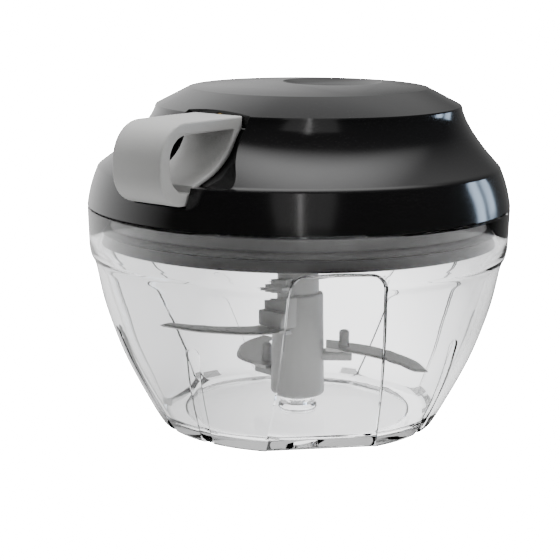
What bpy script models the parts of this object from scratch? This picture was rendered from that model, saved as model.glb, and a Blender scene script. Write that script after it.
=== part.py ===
# Manual food chopper with a pull cord: clear bowl, black lid, D-shaped pull handle
# Metres, +Z up, origin on the bowl's axis at the plane it stands on. The handle points along -Y.

import bpy
import bmesh
from math import acos, cos, pi, radians, sin, sqrt, tau
from mathutils import Matrix

# General clearances and limits
GAP = 0.0003
OVERRUN = 0.004
HAIR = 0.00001
ROUND_SEGMENTS = 56
SMALL_SEGMENTS = 20
SMOOTH_ANGLE = radians(32)
HALF = 0.5

# Bowl
RIM_RADIUS = 0.065
BOWL_HEIGHT = 0.0680
BOWL_WALL = 0.0023
BOWL_FLOOR = 0.0045
FLOOR_OVERLAP = 0.0007
HOLLOW_LIFT = 0.0010
BASE_INSET = 0.0242
COLLAR_DEPTH = 0.0145
COLLAR_STEP = 0.0009
COLLAR_BLEND = 0.0032
# Each point: share of the way from base radius to the collar's foot, share of the height under the collar
FLANK_SHARES = (
    (0.131, 0.038), (0.204, 0.089), (0.302, 0.165), (0.450, 0.280),
    (0.613, 0.420), (0.748, 0.572), (0.874, 0.738), (0.965, 0.916),
)
BASE_RECESS_INSET = 0.0052
BASE_RECESS_DEPTH = 0.0016
BOSS_RADIUS = 0.0055
BOSS_HEIGHT = 0.0022

# Bowl side panels
PANEL_COUNT = 3
PANEL_AZIMUTH = radians(-41.5)
PANEL_TOP_HALF = 0.0132
PANEL_BASE_HALF = 0.0163
PANEL_STEP = 0.0010
PANEL_CORNER = 0.0050
PANEL_LEVELS = 12

# Pivot pin and thrust washer
PIN_RADIUS = 0.0020
PIN_HEIGHT = 0.0130
PIN_SEAT = 0.0034
WASHER_RADIUS = 0.0048
WASHER_THICKNESS = 0.0006

# Blade spindle
BODY_RADIUS = 0.0078
BODY_FOOT_RADIUS = 0.0084
BODY_TOP_SHARE = 0.594
SHAFT_RADIUS = 0.0065
SHAFT_DROP = 0.0084
HEX_RADIUS = 0.0046
HEX_LENGTH = 0.0080
SPINDLE_CHAMFER = 0.0012

# Blades from the lowest up. Each inset is the tip's distance in from the rim
BLADE_NAMES = ("blade_lower", "blade_middle", "blade_upper")
BLADE_AZIMUTHS = (radians(144), radians(10), radians(238))
BLADE_HEIGHT_SHARES = (0.221, 0.329, 0.438)
BLADE_INSETS = (0.0212, 0.0205, 0.0205)
BLADE_SLOPES = (0.0, -0.10, 0.09)
BLADE_THICKNESS = 0.0010
BLADE_ROOT_TURN = radians(27)
BLADE_ROOT_START = 0.0088
BLADE_ROOT_HALF = 0.0054
# Each point: share of the blade's reach, angle ahead of the tip
BLADE_EDGE_SHARES = (
    (0.402, radians(46)), (0.571, radians(35.6)), (0.737, radians(21.6)),
    (0.863, radians(12.5)), (1.000, radians(0)), (0.917, radians(-4)),
    (0.782, radians(0.7)), (0.708, radians(2)), (0.613, radians(6.2)), (0.416, radians(7.4)),
)
BLADE_SMOOTHING = 4

# Carriers, one under each of the lower blades and one over the upper blade
CARRIER_REACHES = (0.0170, 0.0170, 0.0126)
CARRIER_HALVES = (0.0031, 0.0031, 0.0050)
CARRIER_DEPTH = 0.0026
CARRIER_RISE = 0.0061
CARRIER_STEP_REACHES = (0.0100, 0.0090)
CARRIER_STEP_HALVES = (0.0050, 0.0034)
CARRIER_STEP_HEIGHTS = (0.0104, 0.0128)
STUD_RADIUS = 0.0016
STUD_PLACES = (0.0145, 0.0145, 0.0112)
STUD_HEIGHT = 0.0058
STUD_DROP = 0.0014

# Lid: rim, shoulder, raised deck
LID_GAP = 0.0004
LID_WALL = 0.0020
SHOULDER_INSET = 0.0033
SHOULDER_RISE = 0.0119
DECK_INSET = 0.0142
DECK_RISE = 0.0178
TOP_INSET = 0.0105
TOP_RISE = 0.0054
DECK_SHIFT = 0.0076
DECK_AZIMUTH = radians(106)
FLARE_POWER = 1.5
FLARE_LEVELS = 6
BAND_BULGE = 0.0005
DISH_RADIUS = 0.0160
DISH_DEPTH = 0.0018
DISH_INSET = 0.0165

# Pull handle
HANDLE_WIDTH = 0.0184
HANDLE_OVERHANG = 0.0075
HANDLE_REAR_SHARE = 0.585
HANDLE_LIFT = 0.0002
HANDLE_DROP = 0.0052
HANDLE_ARM = 0.0035
HANDLE_GRIP = 0.0040
HANDLE_PLATE = 0.0018
HANDLE_TOP_ROUND = 0.0105
HANDLE_BOTTOM_ROUND = 0.0090
HOLE_ROUND = 0.0068
LOWER_ARM_REACH = 0.0128
# Back plate: share of the way out from rear edge to lower arm, share of the drop from top arm to it
PLATE_SHARES = ((0.0, 0.0), (0.08, 0.11), (0.25, 0.457), (0.518, 0.728), (0.814, 0.894), (1.0, 1.0))
ROUND_STEPS = 5

# Pocket for the handle
POCKET_TOP_HALF = 0.0117
POCKET_FLOOR_HALF = 0.0245
POCKET_CORNER = 0.0045
POCKET_LEVELS = 9
POCKET_CLEARANCE = 0.0004
POCKET_DROP = 0.0002
NOTCH_CLEARANCE = 0.0006

# Pull cord, eyelet and knot
CORD_RADIUS = 0.0008
CORD_BORE = 0.0011
EYELET_BORE = 0.0012
EYELET_RADIUS = 0.0020
EYELET_FLANGE = 0.0026
EYELET_FLANGE_THICKNESS = 0.0007
KNOT_RADIUS = 0.0012
KNOT_LENGTH = 0.0038
KNOT_PLACE = 0.0500
KNOT_POCKET_HALF = 0.0020

# Lid base and seal
BASE_PLATE = 0.0020
BASE_PLATE_INSET = 0.0033
SKIRT_DEPTH = 0.0106
SKIRT_EASE = 0.0012
SKIRT_WALL = 0.0020
SEAL_RISE = 0.0038
SEAL_WIDTH = 0.0020
SEAL_GROOVE = 0.0010
BASE_SCREW_COUNT = 6
BASE_SCREW_INSET = 0.0130
BASE_SCREW_TURN = radians(0)

# Screws
SCREW_RADIUS = 0.0014
SCREW_HEAD_RADIUS = 0.0028
SCREW_HEAD = 0.0018
SCREW_LENGTH = 0.0080
SCREW_SLOT = 0.0007
SCREW_BOSS = 0.0036

# Bearing plate
PLATE_RISE = 0.0052
PLATE_THICKNESS = 0.0020
PLATE_INSET = 0.0180
PLATE_SCREW_COUNT = 4
PLATE_SCREW_INSET = 0.0050
PLATE_SCREW_TURN = radians(45)

# Drive hub, bush and ratchet
HUB_RADIUS = 0.0076
HUB_COLLAR = 0.0110
HUB_COLLAR_THICKNESS = 0.0018
RUNNING_GAP = 0.0003
BUSH_WALL = 0.0016
BUSH_FLANGE = 0.0022
BUSH_FLANGE_THICKNESS = 0.0010
RATCHET_TEETH = 6
RATCHET_ROOT = 0.0090
RATCHET_TIP = 0.0110
RATCHET_THICKNESS = 0.0026
RATCHET_ARC_STEPS = 6

# Reel, winding and recoil spring
WEB_DROP = 0.0036
WEB_THICKNESS = 0.0014
REEL_SHARE = 0.803
DRUM_SHARE = 0.669
DRUM_WALL = 0.0018
GROOVE_HEIGHT = 0.0038
FLANGE_THICKNESS = 0.0010
WINDING_TURNS = 2.75
WINDING_PITCH = 0.0023
WINDING_STEPS = 24
LEAD_STEPS = 4
SPRING_TURNS = 6.0
SPRING_THICKNESS = 0.0004
SPRING_WIDTH = 0.0034
SPRING_STEPS = 20
SPRING_COVER_THICKNESS = 0.0007

# Axle, arbor and washer
AXLE_RADIUS = 0.0030
AXLE_DROP = 0.0105
ARBOR_RADIUS = 0.0055
AXLE_WASHER_RADIUS = 0.0052
AXLE_WASHER_THICKNESS = 0.0005

# Pawls
PAWL_COUNT = 2
PAWL_PLACE = 0.0134
PAWL_AZIMUTH = radians(20)
PAWL_HALF = 0.0017
PAWL_NOSE_AHEAD = radians(38)
PAWL_PIN_RADIUS = 0.0010
PAWL_PIN_HEAD = 0.0017
PAWL_PIN_HEAD_THICKNESS = 0.0005

# Places worked out from the sizes above: the bowl
BASE_RADIUS = RIM_RADIUS - BASE_INSET
BASE_RECESS_RADIUS = BASE_RADIUS - BASE_RECESS_INSET
LID_BOTTOM = BOWL_HEIGHT + LID_GAP
SKIRT_BOTTOM = LID_BOTTOM - SKIRT_DEPTH
PANEL_TOP = SKIRT_BOTTOM - GAP * 2
COLLAR_FOOT = BOWL_HEIGHT - COLLAR_DEPTH
COLLAR_FOOT_RADIUS = RIM_RADIUS - COLLAR_STEP
BOWL_INSIDE = RIM_RADIUS - BOWL_WALL - GAP
BOSS_TOP = BOWL_FLOOR + BOSS_HEIGHT
WASHER_TOP = BOSS_TOP + GAP + WASHER_THICKNESS

# The spindle
SPINDLE_BOTTOM = WASHER_TOP + GAP
BODY_TOP = BOWL_HEIGHT * BODY_TOP_SHARE
SHAFT_TOP = BOWL_HEIGHT - SHAFT_DROP
HEX_TOP = SHAFT_TOP + HEX_LENGTH
HUB_BOTTOM = SHAFT_TOP + GAP

# The lid
SHOULDER_RADIUS = RIM_RADIUS - SHOULDER_INSET
SHOULDER_HEIGHT = LID_BOTTOM + SHOULDER_RISE
DECK_RADIUS = SHOULDER_RADIUS - DECK_INSET
DECK_HEIGHT = SHOULDER_HEIGHT + DECK_RISE
TOP_RADIUS = DECK_RADIUS - TOP_INSET
TOP_HEIGHT = DECK_HEIGHT + TOP_RISE
CEILING = TOP_HEIGHT - LID_WALL
DECK_X = DECK_SHIFT * cos(DECK_AZIMUTH)
DECK_Y = DECK_SHIFT * sin(DECK_AZIMUTH)
DISH_PLACE = TOP_RADIUS - DISH_INSET
BASE_PLATE_RADIUS = RIM_RADIUS - BASE_PLATE_INSET
BASE_SCREW_PLACE = RIM_RADIUS - BASE_SCREW_INSET
SKIRT_RADIUS = BOWL_INSIDE - SKIRT_EASE
SEAL_HEIGHT = SKIRT_BOTTOM + SEAL_RISE
PLATE_HEIGHT = LID_BOTTOM + PLATE_RISE
PLATE_TOP = PLATE_HEIGHT + PLATE_THICKNESS
PLATE_RADIUS = RIM_RADIUS - PLATE_INSET
PLATE_SCREW_PLACE = PLATE_RADIUS - PLATE_SCREW_INSET

# The handle and its pocket
HANDLE_REACH = RIM_RADIUS + HANDLE_OVERHANG
HANDLE_REAR = RIM_RADIUS * HANDLE_REAR_SHARE
HANDLE_TOP = DECK_HEIGHT + HANDLE_LIFT
HANDLE_BOTTOM = SHOULDER_HEIGHT - HANDLE_DROP
HOLE_TOP = HANDLE_TOP - HANDLE_ARM
HOLE_FLOOR = HANDLE_BOTTOM + HANDLE_ARM
LOWER_ARM_INNER = HANDLE_REACH - LOWER_ARM_REACH
POCKET_REAR = HANDLE_REAR - POCKET_CLEARANCE
POCKET_FLOOR = SHOULDER_HEIGHT - POCKET_DROP
CORD_HEIGHT = HANDLE_TOP - HANDLE_ARM * HALF
EYELET_OUTER = POCKET_REAR - GAP
EYELET_INNER = POCKET_REAR - LID_WALL - GAP - EYELET_FLANGE_THICKNESS

# The reel and the ratchet
REEL_RADIUS = HANDLE_REAR * REEL_SHARE
DRUM_RADIUS = REEL_RADIUS * DRUM_SHARE
WEB_HEIGHT = CORD_HEIGHT - WEB_DROP
GROOVE_FLOOR = WEB_HEIGHT + WEB_THICKNESS
REEL_TOP = GROOVE_FLOOR + GROOVE_HEIGHT + FLANGE_THICKNESS
WINDING_END = DRUM_RADIUS + GAP + CORD_RADIUS + WINDING_PITCH * WINDING_TURNS
AXLE_BOTTOM = WEB_HEIGHT - AXLE_DROP
RATCHET_BOTTOM = WEB_HEIGHT - GAP - RATCHET_THICKNESS - AXLE_WASHER_THICKNESS - GAP
RATCHET_TOP = RATCHET_BOTTOM + RATCHET_THICKNESS

# Colours: red, green, blue
BLACK_PLASTIC = (0.010, 0.010, 0.011)
DARK_PLASTIC = (0.060, 0.060, 0.062)
LIGHT_PLASTIC = (0.330, 0.330, 0.325)
GREY_PLASTIC = (0.200, 0.200, 0.195)
WHITE_PLASTIC = (0.700, 0.700, 0.690)
CLEAR_PLASTIC = (0.900, 0.910, 0.920)
STEEL = (0.550, 0.550, 0.560)
BRASS = (0.600, 0.450, 0.200)
SILICONE = (0.450, 0.450, 0.440)
CORD_COLOUR = (0.750, 0.740, 0.700)


# Materials and meshes

def make_material(name, colour, roughness, metallic=0.0, transmission=0.0):
    material = bpy.data.materials.new(name)
    material.use_nodes = True
    shader = material.node_tree.nodes["Principled BSDF"]
    shader.inputs["Base Color"].default_value = (*colour, 1.0)
    shader.inputs["Roughness"].default_value = roughness
    shader.inputs["Metallic"].default_value = metallic
    shader.inputs["Transmission Weight"].default_value = transmission
    return material


def plastic(name, colour, roughness=0.35):
    return make_material(name, colour, roughness)


def metal(name, colour=STEEL, roughness=0.3):
    return make_material(name, colour, roughness, metallic=1.0)


def add_object(name, shape, material=None):
    """Turn a bmesh into an object whose faces point outwards."""
    bmesh.ops.remove_doubles(shape, verts=shape.verts, dist=HAIR)
    bmesh.ops.recalc_face_normals(shape, faces=shape.faces)
    mesh = bpy.data.meshes.new(name)
    shape.to_mesh(mesh)
    shape.free()
    mesh.shade_smooth()
    mesh.set_sharp_from_angle(angle=SMOOTH_ANGLE)
    if material:
        mesh.materials.append(material)
    thing = bpy.data.objects.new(name, mesh)
    bpy.context.scene.collection.objects.link(thing)
    return thing


def add_rings(shape, rings, closed=False):
    """Join rings of points into one skin, with a cap on each open end."""
    rows = [[shape.verts.new(point) for point in ring] for ring in rings]
    pairs = list(zip(rows, rows[1:]))
    if closed:
        pairs.append((rows[-1], rows[0]))
    for lower, upper in pairs:
        count = len(lower)
        for i in range(count):
            j = (i + 1) % count
            shape.faces.new((lower[i], lower[j], upper[j], upper[i]))
    if not closed:
        shape.faces.new(rows[0])
        shape.faces.new(rows[-1])


def loft(name, rings, material=None):
    shape = bmesh.new()
    add_rings(shape, rings)
    return add_object(name, shape, material)


def circle(radius, height, segments=ROUND_SEGMENTS, centre=(0.0, 0.0)):
    points = []
    for i in range(segments):
        angle = tau * i / segments
        points.append((centre[0] + radius * cos(angle), centre[1] + radius * sin(angle), height))
    return points


def turned(name, outline, material=None, segments=ROUND_SEGMENTS, centre=(0.0, 0.0)):
    """Turn a closed outline of radius and height about the vertical. Radius 0 lies on the axis."""
    shape = bmesh.new()
    rows = []
    for radius, height in outline:
        if radius == 0:
            rows.append([shape.verts.new((centre[0], centre[1], height))])
        else:
            rows.append([shape.verts.new(point) for point in circle(radius, height, segments, centre)])
    for lower, upper in zip(rows, rows[1:] + rows[:1]):
        for i in range(segments):
            j = (i + 1) % segments
            if len(lower) == 1 and len(upper) == 1:
                continue
            if len(lower) == 1:
                shape.faces.new((lower[0], upper[j], upper[i]))
            elif len(upper) == 1:
                shape.faces.new((lower[i], lower[j], upper[0]))
            else:
                shape.faces.new((lower[i], lower[j], upper[j], upper[i]))
    return add_object(name, shape, material)


def tube_outline(inner, outer, bottom, top):
    return ((inner, bottom), (outer, bottom), (outer, top), (inner, top))


def disc_outline(radius, bottom, top):
    return ((0, bottom), (radius, bottom), (radius, top), (0, top))


def drilled_outline(hole, radius, bottom, hole_top, top):
    """A post with a blind hole in its lower end."""
    return ((hole, bottom), (radius, bottom), (radius, top), (0, top), (0, hole_top), (hole, hole_top))


def prism(name, outline, bottom, top, material=None):
    rings = [[(x, y, height) for x, y in outline] for height in (bottom, top)]
    return loft(name, rings, material)


def side_prism(name, outline, half_width, material=None):
    """Extrude an outline of reach and height along X. Reach runs towards -Y."""
    rings = [[(x, -reach, height) for reach, height in outline] for x in (-half_width, half_width)]
    return loft(name, rings, material)


def box(name, low, high, material=None):
    rings = []
    for height in (low[2], high[2]):
        ring = ((low[0], low[1], height), (high[0], low[1], height))
        ring += ((high[0], high[1], height), (low[0], high[1], height))
        rings.append(ring)
    return loft(name, rings, material)


def turn_about_z(thing, angle):
    thing.data.transform(Matrix.Rotation(angle, 4, "Z"))
    return thing


def joined(name, pieces):
    """Gather separate solids into one object, for use as a single tool."""
    shape = bmesh.new()
    for piece in pieces:
        shape.from_mesh(piece.data)
        bpy.data.objects.remove(piece)
    return add_object(name, shape)


def apply_tool(target, tool, operation):
    modifier = target.modifiers.new(tool.name, "BOOLEAN")
    modifier.operation = operation
    modifier.solver = "EXACT"
    modifier.object = tool
    tool.hide_render = True
    tool.display_type = "WIRE"


def cut(target, tool):
    apply_tool(target, tool, "DIFFERENCE")


def weld(target, tool):
    apply_tool(target, tool, "UNION")


def set_pivot(thing, point):
    """Move the object's origin to its joint axis and leave its surface where it is."""
    offset = Matrix.Translation(point)
    thing.data.transform(offset.inverted())
    thing.location = point


def spots(count, place, turn):
    """Places of a ring of screws: angle, x and y."""
    ring = []
    for i in range(count):
        angle = turn + tau * i / count
        ring.append((angle, place * cos(angle), place * sin(angle)))
    return ring


# Bowl

def flank(inset=0.0):
    """The bowl's side from its base to under the collar, drawn in by the inset."""
    points = []
    for out_share, up_share in FLANK_SHARES:
        radius = BASE_RADIUS + (COLLAR_FOOT_RADIUS - COLLAR_STEP - BASE_RADIUS) * out_share
        points.append((radius - inset, COLLAR_FOOT * up_share))
    return points


def flank_radius(height):
    points = [(BASE_RADIUS, 0.0)] + flank()
    points += [(COLLAR_FOOT_RADIUS, COLLAR_FOOT), (RIM_RADIUS, BOWL_HEIGHT)]
    for (r_low, z_low), (r_high, z_high) in zip(points, points[1:]):
        if height <= z_high:
            share = max(0.0, (height - z_low) / (z_high - z_low))
            return r_low + (r_high - r_low) * share
    return RIM_RADIUS


def panel_tool(name, azimuth, wall):
    """The space in front of a flat side panel. A wall above zero gives the bulge behind the panel."""
    top = PANEL_TOP
    bottom = -OVERRUN
    rings = []
    for level in range(PANEL_LEVELS + 1):
        height = bottom + (top - bottom) * sin(pi * HALF * level / PANEL_LEVELS)
        half = PANEL_BASE_HALF + (PANEL_TOP_HALF - PANEL_BASE_HALF) * max(0.0, height) / top
        rise = max(0.0, height - (top - PANEL_CORNER))
        half -= PANEL_CORNER - sqrt(max(0.0, PANEL_CORNER ** 2 - rise ** 2))
        radius = flank_radius(max(0.0, height))
        face = sqrt(radius ** 2 - half ** 2) - PANEL_STEP - wall
        half += wall
        outer = RIM_RADIUS + OVERRUN
        corners = ((face, -half), (outer, -half), (outer, half), (face, half))
        rings.append([(x, y, height) for x, y in corners])
    return turn_about_z(loft(name, rings), azimuth)


def build_bowl():
    outline = [(0, 0), (BASE_RADIUS, 0)] + flank()
    outline += [(COLLAR_FOOT_RADIUS, COLLAR_FOOT), (RIM_RADIUS - GAP, COLLAR_FOOT + COLLAR_BLEND)]
    outline += [(RIM_RADIUS, BOWL_HEIGHT), (0, BOWL_HEIGHT)]
    bowl = turned("bowl", outline, make_material("bowl_clear", CLEAR_PLASTIC, 0.05, transmission=1.0))

    hollow = [(0, BOWL_FLOOR), (BASE_RADIUS + FLOOR_OVERLAP, BOWL_FLOOR)]
    side = [(radius, height) for radius, height in flank(BOWL_WALL) if height > BOWL_FLOOR]
    hollow += [(radius, height + HOLLOW_LIFT) for radius, height in side]
    hollow += [(BOWL_INSIDE - COLLAR_STEP, COLLAR_FOOT + HOLLOW_LIFT)]
    hollow += [(BOWL_INSIDE, COLLAR_FOOT + COLLAR_BLEND)]
    hollow += [(BOWL_INSIDE, BOWL_HEIGHT + OVERRUN), (0, BOWL_HEIGHT + OVERRUN)]
    cavity = turned("bowl_cavity", hollow)
    for i in range(PANEL_COUNT):
        azimuth = PANEL_AZIMUTH + tau * i / PANEL_COUNT
        cut(bowl, panel_tool(f"panel_{i + 1}_face", azimuth, 0.0))
        cut(cavity, panel_tool(f"panel_{i + 1}_back", azimuth, BOWL_WALL))
    boss = disc_outline(BOSS_RADIUS, BOWL_FLOOR - GAP, BOSS_TOP)
    cut(cavity, turned("bowl_boss", boss, segments=SMALL_SEGMENTS))
    cut(bowl, cavity)

    recess = tube_outline(BOSS_RADIUS, BASE_RECESS_RADIUS, -OVERRUN, BASE_RECESS_DEPTH)
    cut(bowl, turned("base_recess", recess))
    seat_outline = disc_outline(PIN_RADIUS + GAP, PIN_SEAT, BOSS_TOP + OVERRUN)
    cut(bowl, turned("pin_seat", seat_outline, segments=SMALL_SEGMENTS))
    return bowl


def build_pivot():
    top = BOSS_TOP + PIN_HEIGHT
    outline = [(0, PIN_SEAT + GAP), (PIN_RADIUS, PIN_SEAT + GAP), (PIN_RADIUS, top - PIN_RADIUS * HALF)]
    outline += [(PIN_RADIUS * HALF, top), (0, top)]
    turned("pivot_pin", outline, metal("pivot_steel"), SMALL_SEGMENTS)
    ring = tube_outline(PIN_RADIUS + GAP, WASHER_RADIUS, BOSS_TOP + GAP, WASHER_TOP)
    turned("thrust_washer", ring, metal("washer_steel"), SMALL_SEGMENTS)


# Blades and spindle

def polar(radius, angle):
    return radius * cos(angle), radius * sin(angle)


def along_root(reach, side):
    """A point beside the blade's root: reach out from the axis, side across it."""
    angle = BLADE_ROOT_TURN
    return reach * cos(angle) - side * sin(angle), reach * sin(angle) + side * cos(angle)


def smooth_run(points, steps):
    """A smooth curve through the points, from the second one to the last but one."""
    run = []
    for before, start, end, after in zip(points, points[1:], points[2:], points[3:]):
        for i in range(steps):
            t = i / steps
            point = []
            for a, b, c, d in zip(before, start, end, after):
                bend = 2 * a - 5 * b + 4 * c - d
                twist = 3 * b - 3 * c + d - a
                point.append(b + (t * (c - a) + t ** 2 * bend + t ** 3 * twist) * HALF)
            run.append(tuple(point))
    run.append(points[-2])
    return run


def blade_outline(tip_reach):
    points = [polar(tip_reach * share, angle) for share, angle in BLADE_EDGE_SHARES]
    tip = 4
    first = [along_root(BLADE_ROOT_START, BLADE_ROOT_HALF)] + points[:tip + 1] + [points[tip]]
    second = [points[tip]] + points[tip:] + [along_root(BLADE_ROOT_START, -BLADE_ROOT_HALF)]
    outline = [along_root(BLADE_ROOT_START, BLADE_ROOT_HALF)] + smooth_run(first, BLADE_SMOOTHING)
    outline += smooth_run(second, BLADE_SMOOTHING)[1:]
    outline.append(along_root(BLADE_ROOT_START, -BLADE_ROOT_HALF))
    return outline


def blade_heights():
    return [BOWL_HEIGHT * share for share in BLADE_HEIGHT_SHARES]


def stud_outline(radius, bottom, top):
    crown = radius * HALF
    return ((0, bottom), (radius, bottom), (radius, top - crown), (crown, top), (0, top))


def build_blades():
    """Each blade slopes along its root's direction, from where its carrier ends."""
    steel = metal("blade_steel", roughness=0.25)
    half = BLADE_THICKNESS * HALF
    for i, (name, height) in enumerate(zip(BLADE_NAMES, blade_heights())):
        blade = prism(name, blade_outline(RIM_RADIUS - BLADE_INSETS[i]), -half, half, steel)
        lean = Matrix.Identity(4)
        lean[2][0] = BLADE_SLOPES[i] * cos(BLADE_ROOT_TURN)
        lean[2][1] = BLADE_SLOPES[i] * sin(BLADE_ROOT_TURN)
        lean[2][3] = height - BLADE_SLOPES[i] * CARRIER_REACHES[i]
        blade.data.transform(lean)
        turn_about_z(blade, BLADE_AZIMUTHS[i])
        hole = disc_outline(STUD_RADIUS + GAP, height - OVERRUN, height + OVERRUN)
        place = along_root(STUD_PLACES[i], 0.0)
        tool = turned(f"{name}_hole", hole, segments=SMALL_SEGMENTS // 2, centre=place)
        cut(blade, turn_about_z(tool, BLADE_AZIMUTHS[i]))


def root_box(name, start, reach, half_width, bottom, top, azimuth):
    corners = [(start, -half_width), (reach, -half_width), (reach, half_width), (start, half_width)]
    outline = [along_root(out, side) for out, side in corners]
    return turn_about_z(prism(name, outline, bottom, top), azimuth)


def add_carrier(spindle, i, height):
    """The block that a blade is fixed to, with the stud that goes through the blade."""
    name = BLADE_NAMES[i]
    azimuth = BLADE_AZIMUTHS[i]
    start = BODY_RADIUS * HALF
    away = BLADE_THICKNESS * HALF + GAP
    if name == BLADE_NAMES[-1]:
        low = height + away
        high = height + CARRIER_RISE
        step_sizes = zip(CARRIER_STEP_REACHES, CARRIER_STEP_HALVES, CARRIER_STEP_HEIGHTS)
        for step, (reach, half, rise) in enumerate(step_sizes):
            block_name = f"{name}_step_{step + 1}"
            weld(spindle, root_box(block_name, start, reach, half, high - GAP, height + rise, azimuth))
        stud = disc_outline(STUD_RADIUS, height - STUD_DROP, low + GAP)
    else:
        low = height - away - CARRIER_DEPTH
        high = height - away
        stud = stud_outline(STUD_RADIUS, high - GAP, height + STUD_HEIGHT)
    reach = CARRIER_REACHES[i]
    weld(spindle, root_box(f"{name}_carrier", start, reach, CARRIER_HALVES[i], low, high, azimuth))
    place = along_root(STUD_PLACES[i], 0.0)
    post = turned(f"{name}_stud", stud, segments=SMALL_SEGMENTS // 2, centre=place)
    weld(spindle, turn_about_z(post, azimuth))


def build_spindle():
    ease = SPINDLE_CHAMFER * HALF
    outline = [(0, SPINDLE_BOTTOM), (BODY_FOOT_RADIUS - SPINDLE_CHAMFER, SPINDLE_BOTTOM)]
    outline += [(BODY_FOOT_RADIUS, SPINDLE_BOTTOM + SPINDLE_CHAMFER), (BODY_RADIUS, BODY_TOP - ease)]
    outline += [(BODY_RADIUS - ease, BODY_TOP), (SHAFT_RADIUS, BODY_TOP)]
    outline += [(SHAFT_RADIUS, SHAFT_TOP), (0, SHAFT_TOP)]
    grey = plastic("spindle_grey", GREY_PLASTIC, 0.4)
    spindle = turned("blade_spindle", outline, grey, ROUND_SEGMENTS // 2)
    for i, height in enumerate(blade_heights()):
        add_carrier(spindle, i, height)
    hexagon = [(x, y) for x, y, height in circle(HEX_RADIUS, 0.0, 6)]
    weld(spindle, prism("spindle_hex", hexagon, SHAFT_TOP - OVERRUN, HEX_TOP))
    bore_top = BOSS_TOP + PIN_HEIGHT + GAP
    bore = disc_outline(PIN_RADIUS + RUNNING_GAP, SPINDLE_BOTTOM - OVERRUN, bore_top)
    cut(spindle, turned("spindle_bore", bore, segments=SMALL_SEGMENTS))
    return spindle


# Lid cover

def cover_rings(inset, segments=ROUND_SEGMENTS):
    """Rings of the lid's outer skin from its lower edge to its top, drawn in by the inset."""
    rings = []
    bottom = LID_BOTTOM - (OVERRUN if inset else 0.0)
    rings.append(circle(RIM_RADIUS - inset, bottom, segments))
    band_middle = (SHOULDER_HEIGHT + LID_BOTTOM) * HALF
    band_radius = (SHOULDER_RADIUS + RIM_RADIUS) * HALF + BAND_BULGE
    rings.append(circle(band_radius - inset, band_middle - inset * HALF, segments))
    for level in range(FLARE_LEVELS + 1):
        share = 1 - level / FLARE_LEVELS
        out = share ** FLARE_POWER
        height = DECK_HEIGHT + (SHOULDER_HEIGHT - DECK_HEIGHT) * share - inset
        radius = DECK_RADIUS + (SHOULDER_RADIUS - DECK_RADIUS) * out - inset
        centre = (DECK_X * (1 - out), DECK_Y * (1 - out))
        rings.append(circle(radius, height, segments, centre))
    rings.append(circle(TOP_RADIUS - inset * HALF, TOP_HEIGHT - inset, segments, (DECK_X, DECK_Y)))
    return rings


def plate_curve(offset=0.0):
    """The back plate's rear side as reach and height, moved out by the offset."""
    points = []
    for out_share, drop_share in PLATE_SHARES:
        reach = HANDLE_REAR + (LOWER_ARM_INNER - HANDLE_REAR) * out_share + offset
        height = HOLE_TOP - (HOLE_TOP - HOLE_FLOOR) * drop_share
        points.append((reach, height))
    return points


def plate_reach(height):
    points = plate_curve()
    for (r_high, z_high), (r_low, z_low) in zip(points, points[1:]):
        if height >= z_low:
            share = min(1.0, (z_high - height) / (z_high - z_low))
            return r_high + (r_low - r_high) * max(0.0, share)
    return points[-1][0]


def pocket_tool(name, wall):
    """The space that the handle docks in. A wall above zero gives the housing round it."""
    floor = POCKET_FLOOR - wall
    top = TOP_HEIGHT + OVERRUN
    shoulder = HOLE_TOP
    rings = []
    for level in range(POCKET_LEVELS + 1):
        share = level / POCKET_LEVELS
        height = floor + (shoulder - floor) * share
        half = POCKET_TOP_HALF + (POCKET_FLOOR_HALF - POCKET_TOP_HALF) * (1 - share) ** 2
        rise = max(0.0, POCKET_CORNER - (height - floor))
        half -= POCKET_CORNER - sqrt(POCKET_CORNER ** 2 - rise ** 2)
        rear = plate_reach(height + wall) - POCKET_CLEARANCE - wall
        rings.append(pocket_ring(half + wall, rear, height))
    rings.append(pocket_ring(POCKET_TOP_HALF + wall, POCKET_REAR - wall, top))
    return loft(name, rings)


def pocket_ring(half, rear, height):
    front = HANDLE_REACH + OVERRUN
    corners = ((-half, -front), (half, -front), (half, -rear), (-half, -rear))
    return [(x, y, height) for x, y in corners]


def notch_tool(name, wall):
    """The notch under the pocket's floor, which the handle's lower arm and plate end drop into."""
    room = NOTCH_CLEARANCE + wall
    front = HANDLE_REACH + OVERRUN * 2
    top = SHOULDER_HEIGHT + OVERRUN
    ledge = plate_reach(POCKET_FLOOR) - room
    inner = LOWER_ARM_INNER - room
    bottom = HANDLE_BOTTOM - room
    outline = [(inner, bottom), (front, bottom), (front, top), (ledge, top)]
    outline += [(ledge, POCKET_FLOOR - room), (inner, HOLE_FLOOR - room)]
    return side_prism(name, outline, HANDLE_WIDTH * HALF + room)


def ring_of(name, ring, outline):
    """One tool made of the same turned outline at each place of a ring."""
    posts = []
    for i, (angle, x, y) in enumerate(ring):
        posts.append(turned(f"{name}_{i + 1}", outline, segments=SMALL_SEGMENTS // 2, centre=(x, y)))
    return joined(name, posts)


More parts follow.
